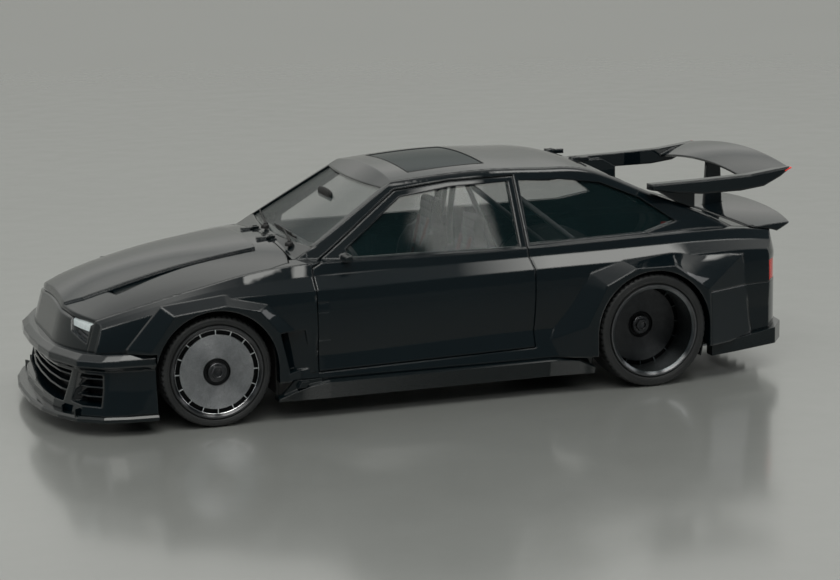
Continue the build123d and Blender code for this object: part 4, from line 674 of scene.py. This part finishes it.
def lens_x(cast, y, z, middle):
    """Where the lens lies at a height, or at the nearest height towards its middle."""
    for step in range(LENS_TRIES + 1):
        place, _ = cast((FRONT_X + AHEAD, y, between(z, middle, step / LENS_TRIES)), BACK)
        if place is not None:
            return place.x
    return FRONT_X + LENS_FALLBACK


def lamp_panel(cast, y_ends, z_low, z_high, depth, steps, ribs=0.0):
    """A panel that follows the headlamp's face at a depth behind it, as a closed thin form."""
    points, faces = [], []
    for front in (True, False):
        for i in range(steps + 1):
            y = between(*y_ends, i / steps)
            for j in range(PANEL_ROWS + 1):
                z = between(z_low(y), z_high(y), j / PANEL_ROWS)
                lens = lens_x(cast, y, z, (z_low(y) + z_high(y)) / 2)
                back = PANEL_THICK
                if front:
                    back = ribs * (-1) ** i + PANEL_ROUND * (2 * j / PANEL_ROWS - 1) ** 2
                points.append((lens - depth - back, y, z))
    row = PANEL_ROWS + 1
    size = (steps + 1) * row
    for i in range(steps):
        for j in range(PANEL_ROWS):
            a, b = i * row + j, (i + 1) * row + j
            faces.append((a, b, b + 1, a + 1))
            faces.append((size + a, size + a + 1, size + b + 1, size + b))
    edge = ([i * row for i in range(steps + 1)] + [steps * row + j for j in range(1, row)]
            + [i * row + PANEL_ROWS for i in range(steps - 1, -1, -1)] + list(range(PANEL_ROWS - 1, 0, -1)))
    for a, b in zip(edge, edge[1:] + edge[:1]):
        faces.append((a, a + size, b + size, b))
    return points, faces


def headlamps():
    """A light bar along the top of each lamp, a pair of dark metal strips and a ribbed dark bowl."""
    cast = node_caster("headlamps")
    top, foot = line(LAMP_TOP), line(LAMP_FOOT)
    bar = lamp_panel(cast, BAR_ENDS, lambda y: top(y) - BAR_BAND[1], lambda y: top(y) - BAR_BAND[0],
                     BAR_DEPTH, 18)
    strips = [lamp_panel(cast, STRIP_ENDS, lambda y, rise=rise: foot(y) + rise,
                         lambda y, rise=rise: foot(y) + rise + STRIP_HEIGHT, STRIP_DEPTH, 10)
              for rise in STRIP_RISES]
    bowl = lamp_panel(cast, BOWL_ENDS, lambda y: foot(max(y, BOWL_INNER_Y)) + BOWL_INSET[0],
                      lambda y: top(y) - BOWL_INSET[1], BOWL_DEPTH, 30, ribs=BOWL_RIB)
    for side, s in SIDES.items():
        for name, form, material, slot in (("light_bar", bar, LIGHT_BAR, "lamp_front"),
                                           ("lamp_slats", joined(strips), NUT_METAL, "lamp_front"),
                                           ("lamp_bowl", bowl, TRIM, "dark_trim")):
            add_piece(f"{name}_{side}", form if s > 0 else mirrored_form(form), material, "root")


# Wing lamps: (x from the rear axle, z) ends, reach in Y from the wing's end, half height and bevel
MARKER_LINE = ((-0.985, 1.1835), (-1.027, 1.2015))
MARKER_Y = (-0.010, 0.0015)
MARKER_HALF = 0.004
MARKER_BEVEL = 0.0012


def wing_markers():
    """A thin red lamp along the tail end of each wing arm."""
    _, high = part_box("wing")
    for side, s in SIDES.items():
        form = bmesh.new()
        verts = [form.verts.new((REAR_X + x, s * (high.y + y), z + dz))
                 for x, z in MARKER_LINE for y in MARKER_Y for dz in (-MARKER_HALF, MARKER_HALF)]
        for face in ((0, 1, 3, 2), (4, 6, 7, 5), (0, 2, 6, 4), (1, 5, 7, 3), (2, 3, 7, 6), (0, 4, 5, 1)):
            form.faces.new([verts[i] for i in face])
        bmesh.ops.bevel(form, geom=list(form.edges), offset=MARKER_BEVEL, segments=2, affect="EDGES")
        add_piece(f"wing_marker_{side}", unload(form), MARKER, "hatch")


# Wipers: (pivot y, tip y) of each, the pivot's place, and the blade's search heights on the screen
WIPERS = ((0.46, 0.02), (-0.06, -0.52))
PIVOT_X = -0.545
PIVOT_FROM_Z = 1.3
SCREEN_FROM_X = 0.4
SCREEN_TOP = 1.15
SCREEN_STEP = 0.004
BLADE_Z = (0.945, 0.957)
BLADE_START = 0.12
BLADE_REACH = 0.98
BLADE_STEPS = 12
BLADE_LIFT = 0.012
LIP_LIFT = 0.004
BLADE_R = 0.0048
LIP_R = 0.0025
BRIDGE_RISE = 0.010
BRIDGE_ENDS = (2, 10)
BRIDGE_R = 0.0042
CLAWS = (2, 5, 7, 10)
CLAW_R = 0.004
ARM_RADII = [0.011, 0.010, 0.007, 0.0055, 0.005]
PIVOT_DOME = ((0.006, 0.024), (0.018, 0.024), (0.026, 0.020), (0.030, 0.012), (0.031, 0.001))


def wipers():
    """Two parked wipers: domed pivot, tapered arm and bridged blade along the foot of the screen."""
    glass_cast = node_caster("windscreen")
    cowl_cast = node_caster("front_bulkhead", "bonnet")

    def on_glass(y, height, lift):
        place = None
        while place is None and height < SCREEN_TOP:
            place, normal = glass_cast((FRONT_X + SCREEN_FROM_X, y, height), BACK)
            height += SCREEN_STEP
        return place + (normal if normal.x > 0 else -normal) * lift

    for number, (pivot_y, tip_y) in enumerate(WIPERS):
        pivot, _ = cowl_cast((FRONT_X + PIVOT_X, pivot_y, PIVOT_FROM_Z), DOWN)
        reach = tip_y - pivot_y
        blade, lip = ([on_glass(pivot_y + reach * (BLADE_START + BLADE_REACH * i / BLADE_STEPS),
                                between(*BLADE_Z, i / BLADE_STEPS), lift) for i in range(BLADE_STEPS + 1)]
                      for lift in (BLADE_LIFT, LIP_LIFT))
        middle = blade[BLADE_STEPS // 2] + Vector((0, 0, BRIDGE_RISE))
        arm = [pivot + Vector((0, 0, 0.028)), pivot + Vector((-0.012, reach * 0.06, 0.036)),
               pivot.lerp(middle, 0.35) + Vector((0, 0, 0.030)),
               pivot.lerp(middle, 0.7) + Vector((0, 0, 0.016)), middle]
        claw = Vector((0.002, 0, BRIDGE_RISE))
        forms = [dome_form(pivot, (0, 0, 1), PIVOT_DOME, 20, start=(1, 0, 0)),
                 tube_form(arm, ARM_RADII, 8, flat=0.7),
                 tube_form(blade, BLADE_R, 8), tube_form(lip, LIP_R, 6)]
        forms += [tube_form([blade[i], blade[i] + claw], CLAW_R, 6, up=Vector((1, 0, 0))) for i in CLAWS]
        first, last = (blade[i] + claw for i in BRIDGE_ENDS)
        forms.append(tube_form([first, middle, last], BRIDGE_R, 6))
        add_piece(f"wiper_{number + 1}", joined(forms), SEAL, "root", 50.0)


# Intake mesh: cell sizes, wire radius, the wall's (y, x) places behind the openings, and the mesh's reach
CELL = 0.016
CELL_HEIGHT = CELL * 0.6
WIRE = 0.0016
INTAKE_BACK = ((0.0, 0.770), (0.380, 0.765), (0.600, 0.690), (0.720, 0.600), (0.790, 0.400))
INTAKE_GAP = 0.012
INTAKE_Y = 0.70
INTAKE_Z = (0.150, 0.346)


def intake_place(y, z):
    """A place on the mesh, in front of the bumper's inner wall."""
    for (y0, x0), (y1, x1) in zip(INTAKE_BACK, INTAKE_BACK[1:]):
        if abs(y) <= y1:
            return Vector((FRONT_X + between(x0, x1, (abs(y) - y0) / (y1 - y0)) - INTAKE_GAP, y, z))


def intake_mesh():
    """A diamond wire mesh behind the front bumper's openings."""
    points, faces = [], []

    def strut(a, b):
        start = len(points)
        side = (b - a).normalized().cross(Vector((1, 0, 0))).normalized() * WIRE
        depth = Vector((WIRE, 0, 0))
        for end in (a, b):
            points.extend([end + side, end + depth, end - side, end - depth])
        faces.extend([(start + k, start + (k + 1) % 4, start + 4 + (k + 1) % 4, start + 4 + k)
                      for k in range(4)])

    for j in range(int((INTAKE_Z[1] - INTAKE_Z[0]) / CELL_HEIGHT)):
        for i in range(int(2 * INTAKE_Y / CELL)):
            y = -INTAKE_Y + (i + (0.5 if j % 2 else 0.0)) * CELL
            z = INTAKE_Z[0] + j * CELL_HEIGHT
            for next_y in (y - 0.5 * CELL, y + 0.5 * CELL):
                if -INTAKE_Y <= next_y <= INTAKE_Y and z + CELL_HEIGHT <= INTAKE_Z[1]:
                    strut(intake_place(y, z), intake_place(next_y, z + CELL_HEIGHT))
    add_piece("intake_mesh", (points, faces), MESH_WIRE, "root")


# Bonnet vents: (x, inner y, outer y) along each opening, then the floor's margin, drop, fall and thickness
VENT_EDGES = ((0.470, 0.405, 0.470), (0.420, 0.406, 0.470), (0.260, 0.407, 0.440), (0.060, 0.402, 0.414),
              (-0.160, 0.396, 0.402), (-0.340, 0.386, 0.394))
VENT_STEPS = 26
VENT_MARGIN = 0.012
VENT_DROP = 0.032
VENT_FALL = 0.006
VENT_THICK = 0.004
VENT_FROM_Z = 1.4


def vent_edges(x):
    """The inner and outer Y of a vent's floor, which reaches under the bonnet on both sides."""
    for (x0, inner0, outer0), (x1, inner1, outer1) in zip(VENT_EDGES, VENT_EDGES[1:]):
        if x1 <= x <= x0:
            share = (x0 - x) / (x0 - x1)
            return between(inner0, inner1, share) - VENT_MARGIN, between(outer0, outer1, share) + VENT_MARGIN


def vent_inserts():
    """A dark floor under each long bonnet vent."""
    cast = node_caster("bonnet")
    for side, s in SIDES.items():
        points, faces = [], []
        for i in range(VENT_STEPS + 1):
            # The last step keeps the edges of the step before it
            x, edge_x = (between(VENT_EDGES[0][0], VENT_EDGES[-1][0], k / VENT_STEPS)
                         for k in (i, min(i, VENT_STEPS - 1)))
            x += FRONT_X
            inner, outer = vent_edges(edge_x)
            skin, _ = cast((x, s * (inner - VENT_MARGIN), VENT_FROM_Z), DOWN)
            z = skin.z - VENT_DROP
            points += [(x, s * inner, z), (x, s * outer, z - VENT_FALL),
                       (x, s * inner, z - VENT_THICK), (x, s * outer, z - VENT_FALL - VENT_THICK)]
        for i in range(VENT_STEPS):
            a, b = 4 * i, 4 * i + 4
            faces += [(a, a + 1, b + 1, b), (a + 2, b + 2, b + 3, a + 3), (a, b, b + 2, a + 2),
                      (a + 1, a + 3, b + 3, b + 1)]
        last = 4 * VENT_STEPS
        faces += [(0, 2, 3, 1), (last, last + 1, last + 3, last + 2)]
        add_piece(f"bonnet_vent_{side}", (points, faces), TRIM, "bonnet_lid")


# Rubber beads: each pane with its body and the way its outer face looks (Y outward on either side)
PANES = (("door_glass_left", "left_door", (0, 1, 0)), ("door_glass_right", "right_door", (0, 1, 0)),
         ("quarter_glass", "root", (0, 1, 0)), ("windscreen", "root", (0.5, 0, 0.86)),
         ("hatch_glass", "hatch", (0, 0, 1)), ("sunroof_panel", "root", (0, 0, 1)))
OUTER_LEAN = 0.5
SHORT_LOOP = 5
BEAD_R = 0.0045
BEAD_STEP = 0.03
BEAD_UP = Vector((0.03, 0.02, 1))


def border_loops(mesh, outward):
    """The closed border paths of the faces that look outward."""
    used = {}
    for face in mesh.polygons:
        out = Vector((outward[0], math.copysign(outward[1], face.center.y), outward[2]))
        if face.normal.dot(out) < OUTER_LEAN:
            continue
        corners = [tuple(round(c, 5) for c in mesh.vertices[i].co) for i in face.vertices]
        for a, b in zip(corners, corners[1:] + corners[:1]):
            key = tuple(sorted((a, b)))
            used[key] = used.get(key, 0) + 1
    links = {}
    for (a, b), count in used.items():
        if count == 1:
            links.setdefault(a, []).append(b)
            links.setdefault(b, []).append(a)
    loops, seen = [], set()
    for start in sorted(links):
        loop, here = [], start
        while here is not None and here not in seen:
            seen.add(here)
            loop.append(Vector(here))
            here = next((n for n in links[here] if n not in seen), None)
        if len(loop) > SHORT_LOOP:
            loops.append(loop)
    return loops


def even_path(loop, step):
    """A closed path with points at even steps."""
    result = []
    for a, b in zip(loop, loop[1:] + loop[:1]):
        parts = max(1, int((b - a).length / step))
        result += [a.lerp(b, k / parts) for k in range(parts)]
    return [p for i, p in enumerate(result) if (p - result[i - 1]).length > step * 0.25]


def window_seals():
    """A rubber bead round the outer border of each pane."""
    for node, body, outward in PANES:
        forms = [tube_form(even_path(loop, BEAD_STEP), BEAD_R, 6, closed=True, up=BEAD_UP)
                 for loop in border_loops(NODES[node].data, outward)]
        add_piece(f"seal_{node}", joined(forms), SEAL, body, 80.0)


# Seat pads: cloth inflated over the CAD seat, then sewn in channels across the faces the sitter meets
SEAT_Y = 0.380
SEAT_VOXEL = 0.013
SEAT_INSET = 0.008
SEAT_PRESSURE = 4.0
SEAT_SWELL = 0.014
SEAT_FRAMES = 20
CHANNEL_PITCH = 0.058
CHANNEL_DEPTH = 0.006
CHANNEL_HALF = 0.007
CHANNEL_REACH = 0.135
CHANNEL_MARGIN = 0.02
CHANNEL_FOOT_Z = 0.28
CUSHION_TOP_Z = 0.45
BACKREST_LEAN = 0.25
CUSHION_LEAN = 0.6


def settle(piece):
    """Applies a piece's modifiers to its mesh."""
    graph = bpy.context.evaluated_depsgraph_get()
    mesh = bpy.data.meshes.new_from_object(piece.evaluated_get(graph))
    piece.modifiers.clear()
    piece.data = mesh


def inflate(pad):
    """Lets the pad swell as cloth under pressure, by SEAT_SWELL at most."""
    rest = [v.co.copy() for v in pad.data.vertices]
    cloth = pad.modifiers.new("inflate", "CLOTH")
    cloth.settings.use_pressure = True
    cloth.settings.uniform_pressure_force = SEAT_PRESSURE
    cloth.settings.effector_weights.gravity = 0.0
    cloth.point_cache.frame_end = SEAT_FRAMES
    for step in range(1, SEAT_FRAMES + 1):
        bpy.context.scene.frame_set(step)
    settle(pad)
    bpy.context.scene.frame_set(1)
    for vert, was in zip(pad.data.vertices, rest):
        move = vert.co - was
        if move.length > SEAT_SWELL:
            vert.co = was + move * (SEAT_SWELL / move.length)


def sewn_place(vert):
    """Where a vertex of the left pad lies once its channels are sewn."""
    across = abs(vert.co.y - SEAT_Y)
    on_cushion = vert.normal.z > CUSHION_LEAN and vert.co.z < CUSHION_TOP_Z
    outside = across > CHANNEL_REACH + CHANNEL_MARGIN or vert.co.z < CHANNEL_FOOT_Z
    if outside or not (vert.normal.x > BACKREST_LEAN or on_cushion):
        return vert.co.copy()
    phase = ((vert.co.z - vert.co.x) / CHANNEL_PITCH) % 1.0
    gap = min(phase, 1.0 - phase) * CHANNEL_PITCH
    depth = math.exp(-(gap / CHANNEL_HALF) ** 2) if across < CHANNEL_REACH else 0.0
    depth = max(depth, math.exp(-((across - CHANNEL_REACH) / CHANNEL_HALF) ** 2))
    return vert.co - vert.normal * (CHANNEL_DEPTH * depth)


def seat_pad():
    """The left seat's form, remeshed, inflated as cloth, subdivided and sewn."""
    form = bmesh.new()
    form.from_mesh(NODES["seats"].data)
    bmesh.ops.delete(form, geom=[v for v in form.verts if v.co.y < 0], context="VERTS")
    mesh = bpy.data.meshes.new("seat_pad")
    form.to_mesh(mesh)
    form.free()
    pad = new_object("seat_pad_left", mesh)
    remesh = pad.modifiers.new("remesh", "REMESH")
    remesh.mode = "VOXEL"
    remesh.voxel_size = SEAT_VOXEL
    inset = pad.modifiers.new("inset", "DISPLACE")
    inset.strength = -SEAT_INSET
    inset.mid_level = 0.0
    settle(pad)
    inflate(pad)
    smooth = pad.modifiers.new("smooth", "SUBSURF")
    smooth.levels = 1
    settle(pad)
    sewn = [sewn_place(vert) for vert in pad.data.vertices]
    for vert, place in zip(pad.data.vertices, sewn):
        vert.co = place
    pad.data.polygons.foreach_set("use_smooth", [True] * len(pad.data.polygons))
    pad.data.materials.clear()
    pad.data.materials.append(CLOTH)
    return pad


# Belts, buckles and piping on the left seat: reaches in Y from its middle, X from the front axle
BELT_WIDTH = 0.046
BELT_THICK = 0.0025
BELT_GAP = 0.004
BELT_X = -1.05
BELT_Y = (0.085, 0.030)
BELT_Z = (0.885, 0.400)
BELT_STEPS = 21
LAP_X = -1.400
LAP_Y = (0.215, 0.02)
LAP_RISE = 0.010
LAP_STEPS = 13
LAP_FROM_Z = 0.75
HUB_AHEAD = 0.03
HUB_FROM_Z = 0.60
HUB_LIFT = 0.008
HUB_AXIS = (0.35, 0, 0.94)
HUB_DOME = ((0.0, 0.030), (0.014, 0.030), (0.018, 0.026), (0.019, 0.012), (0.016, 0.010), (0.016, 0.0005))
ADJUSTER_AT = 8
ADJUSTER_SIZE = (0.010, 0.030, 0.014)
ADJUSTER_BEVEL = 0.004
PIPE_Y = 0.222
PIPE_X = (-1.13, -1.66)
PIPE_Z = (0.36, 0.86)
PIPE_STEPS = 39
PIPE_GAP = 0.08
PIPE_R = 0.0045
PIPE_AIM = Vector((0.35, 0, 0.35))
PIPE_DIRECTION = (-0.7071, 0, -0.7071)


def seat_fittings(cast):
    """The left seat's belts, buckles and piping, laid on it by ray casts."""
    belts, buckles, pipes = [], [], []
    hub, _ = cast((FRONT_X + LAP_X + HUB_AHEAD, SEAT_Y, HUB_FROM_Z), DOWN)
    for s in (-1, 1):
        path = []
        for i in range(BELT_STEPS + 1):
            share = i / BELT_STEPS
            place, normal = cast((FRONT_X + BELT_X, SEAT_Y + s * between(*BELT_Y, share),
                                  between(*BELT_Z, share)), BACK)
            if place is not None:
                path.append((place + Vector((BELT_GAP, 0, 0)), normal, Vector((0, 1, 0))))
        path.append((hub + Vector((0.0, s * 0.02, 0.016)), Vector((0.5, 0, 0.86)), Vector((0, 1, 0))))
        belts.append(strap_form(path, BELT_WIDTH, BELT_THICK))
        x, y, z = path[ADJUSTER_AT][0]
        depth, half_y, half_z = ADJUSTER_SIZE
        buckles.append(bevelled_box((x, y - half_y, z - half_z), (x + depth, y + half_y, z + half_z),
                                    ADJUSTER_BEVEL))
        lap = []
        for i in range(LAP_STEPS + 1):
            share = i / LAP_STEPS
            place, normal = cast((FRONT_X + LAP_X, SEAT_Y + s * between(*LAP_Y, share), LAP_FROM_Z), DOWN)
            if place is not None:
                lap.append((place + Vector((0, 0, BELT_GAP + LAP_RISE * share)), normal, Vector((1, 0, 0))))
        belts.append(strap_form(lap, BELT_WIDTH, BELT_THICK))
        edge = []
        for i in range(PIPE_STEPS + 1):
            share = i / PIPE_STEPS
            aim = Vector((FRONT_X + between(*PIPE_X, share ** 1.5), SEAT_Y + s * PIPE_Y,
                          between(*PIPE_Z, share ** 0.9)))
            place, _ = cast(aim + PIPE_AIM, PIPE_DIRECTION)
            if place is not None and (not edge or (place - edge[-1]).length < PIPE_GAP):
                edge.append(place)
        pipes.append(tube_form(edge, PIPE_R, 6))
    buckles.append(dome_form(hub + Vector((0, 0, HUB_LIFT)), HUB_AXIS, HUB_DOME, 24))
    return belts, buckles, pipes


def seats():
    """Both seats, with belts over them."""
    left = seat_pad()
    right = new_object("seat_pad_right", left.data.copy())
    for vert in right.data.vertices:
        vert.co.y -= 2 * SEAT_Y
    cast = caster(left.data)
    for pad in (left, right):
        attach(pad, "root")
        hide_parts("seats")
    belts, buckles, pipes = seat_fittings(cast)
    for name, forms, material, slot in (("belts", belts, WEBBING, "seat_cloth"),
                                        ("buckles", buckles, NUT_METAL, "machined_steel"),
                                        ("piping", pipes, PIPING, "seat_cloth")):
        points, faces = joined(forms)
        for side, shift in (("left", 0.0), ("right", -2 * SEAT_Y)):
            form = [(p[0], p[1] + shift, p[2]) for p in points], faces
            add_piece(f"seat_{name}_{side}", form, material, "root")


# Cabin mirror: its middle, the (y, radius) stations of half its shell, how far its ends dip, and its depth
MIRROR_PLACE = (-0.905, 0.0, 1.135)
MIRROR_HALF = ((0.0, 0.034), (0.08, 0.033), (0.112, 0.030), (0.122, 0.022), (0.125, 0.010))
MIRROR_DIP = 0.006
MIRROR_DIP_Y = 0.12
MIRROR_DEPTH = 0.45
STALK_AIM = (0.2, 0, 1)
STALK_RADII = [0.007, 0.006, 0.012]


def cabin_mirror():
    """Interior mirror on a short stalk."""
    x, y, z = FRONT_X + MIRROR_PLACE[0], MIRROR_PLACE[1], MIRROR_PLACE[2]
    stations = [(-off, r) for off, r in reversed(MIRROR_HALF[1:])] + list(MIRROR_HALF)
    path = [Vector((x, y + off, z - MIRROR_DIP * (off / MIRROR_DIP_Y) ** 2)) for off, _ in stations]
    points, faces = tube_form(path, [r for _, r in stations], 18)
    forms = [([(between(x, p[0], MIRROR_DEPTH), p[1], p[2]) for p in points], faces)]
    foot, _ = node_caster("windscreen")((x, y, z), STALK_AIM)
    if foot is not None:
        stalk = [Vector((x, y, z + 0.01)), Vector((x + 0.01, y, z + 0.05)), foot - Vector((0, 0, 0.006))]
        forms.append(tube_form(stalk, STALK_RADII, 8, up=Vector((1, 0, 0))))
    add_piece("cabin_mirror", joined(forms), SEAL, "root", 50.0)


# Floor, sky and lights: the sky's colours over height, its softboxes as (X, Y, Z) limits of direction
SKY_STOPS = [(0.0, (0.275, 0.28, 0.26)), (0.1, (0.305, 0.31, 0.29)), (0.2, (0.39, 0.40, 0.375)),
             (0.32, (0.66, 0.66, 0.63)), (0.42, (0.50, 0.51, 0.49)), (0.52, (0.85, 0.85, 0.81)),
             (0.65, (1.0, 1.0, 0.95)), (1.0, (0.45, 0.45, 0.44))]
NEAR_SKY = (0.11, 0.13, 0.135)
NEAR_SKY_Y = (-0.05, 0.25)
SOFTBOX_EDGE = 0.02
SOFTBOXES = (((-0.28, 0.50), (0.30, 1.20), (0.52, 0.64)), ((-0.80, -0.34), (0.10, 0.70), (0.78, 1.20)),
             ((-0.14, 0.50), (0.15, 0.75), (0.77, 1.20)))
SOFTBOX_COLOUR = (5.4, 5.4, 5.15)
FLOOR_HALF = 40.0
FLOOR_COLOUR = (0.205, 0.211, 0.203)
FLOOR_CLOUD = 0.94
LIGHTS = (("nose", (8.5, 2.5, 3.6), 0.9, (0.98, 1.0, 1.0)), ("tail", (-8.5, 2.5, 3.6), -0.9, (1.0, 1.0, 1.0)))
LIGHT_SIZE = (2.4, 4.0)
LIGHT_POWER = 60.0


def studio_floor():
    """A wide, faintly cloudy glossy floor."""
    mesh = bpy.data.meshes.new("floor")
    corners = [(x * FLOOR_HALF, y * FLOOR_HALF, 0) for x, y in ((-1, -1), (1, -1), (1, 1), (-1, 1))]
    mesh.from_pydata(corners, [], [(0, 1, 2, 3)])
    material, tree, shader = new_material("studio_floor", {
        "Coat Weight": 1.0, "Coat Roughness": 0.13, "Coat IOR": 1.75})
    dark = tuple(c * FLOOR_CLOUD for c in FLOOR_COLOUR)
    feed(tree, shader, {"Base Color": blend(tree, noise(tree, 0.35, 4.0), dark, FLOOR_COLOUR),
                        "Roughness": spread(tree, noise(tree, 3.0), 0.32, 0.38)})
    bump(tree, shader, noise(tree, 60.0), 0.0002)
    mesh.materials.append(material)
    new_object("studio_floor", mesh)


def studio_sky():
    """A pale sky, darker on the photographer's side, with soft-edged bright boxes overhead."""
    world = bpy.data.worlds.new("studio_world")
    world.use_nodes = True
    sky = world.node_tree
    place = sky.nodes.new("ShaderNodeTexCoord")
    split = sky.nodes.new("ShaderNodeSeparateXYZ")
    sky.links.new(place.outputs["Generated"], split.inputs["Vector"])
    near = spread(sky, split.outputs["Y"], 0.0, 1.0, *NEAR_SKY_Y)
    colour = mix_colour(sky, near, ramp(sky, split.outputs["Z"], SKY_STOPS), NEAR_SKY)
    for limits in SOFTBOXES:
        share = None
        for axis, (low, high) in zip("XYZ", limits):
            along = split.outputs[axis]
            rise = spread(sky, along, 0.0, 1.0, low - SOFTBOX_EDGE, low + SOFTBOX_EDGE)
            fall = spread(sky, along, 1.0, 0.0, high - SOFTBOX_EDGE, high + SOFTBOX_EDGE)
            inside = maths(sky, "MULTIPLY", rise, fall)
            share = inside if share is None else maths(sky, "MULTIPLY", share, inside)
        colour = mix_colour(sky, share, colour, SOFTBOX_COLOUR)
    sky.links.new(colour, sky.nodes["Background"].inputs["Color"])
    bpy.context.scene.world = world


def studio_lights():
    """Broad soft lights before the nose and behind the tail."""
    for name, place, lean, tint in LIGHTS:
        data = bpy.data.lights.new(name, "AREA")
        data.shape = "RECTANGLE"
        data.size, data.size_y = LIGHT_SIZE
        data.energy = LIGHT_POWER
        data.color = tint
        lamp = new_object(name, data)
        lamp.location = place
        lamp.rotation_euler = (0.0, lean, 0.0)


photo_camera()
dress_nodes()
for side in SIDES:
    for end in HUB_Y:
        tyre(end, side)
        hub_nut(end, side)
headlamps()
wing_markers()
wipers()
intake_mesh()
vent_inserts()
window_seals()
seats()
cabin_mirror()
studio_floor()
studio_sky()
studio_lights()

bpy.context.scene.view_settings.view_transform = "Standard"
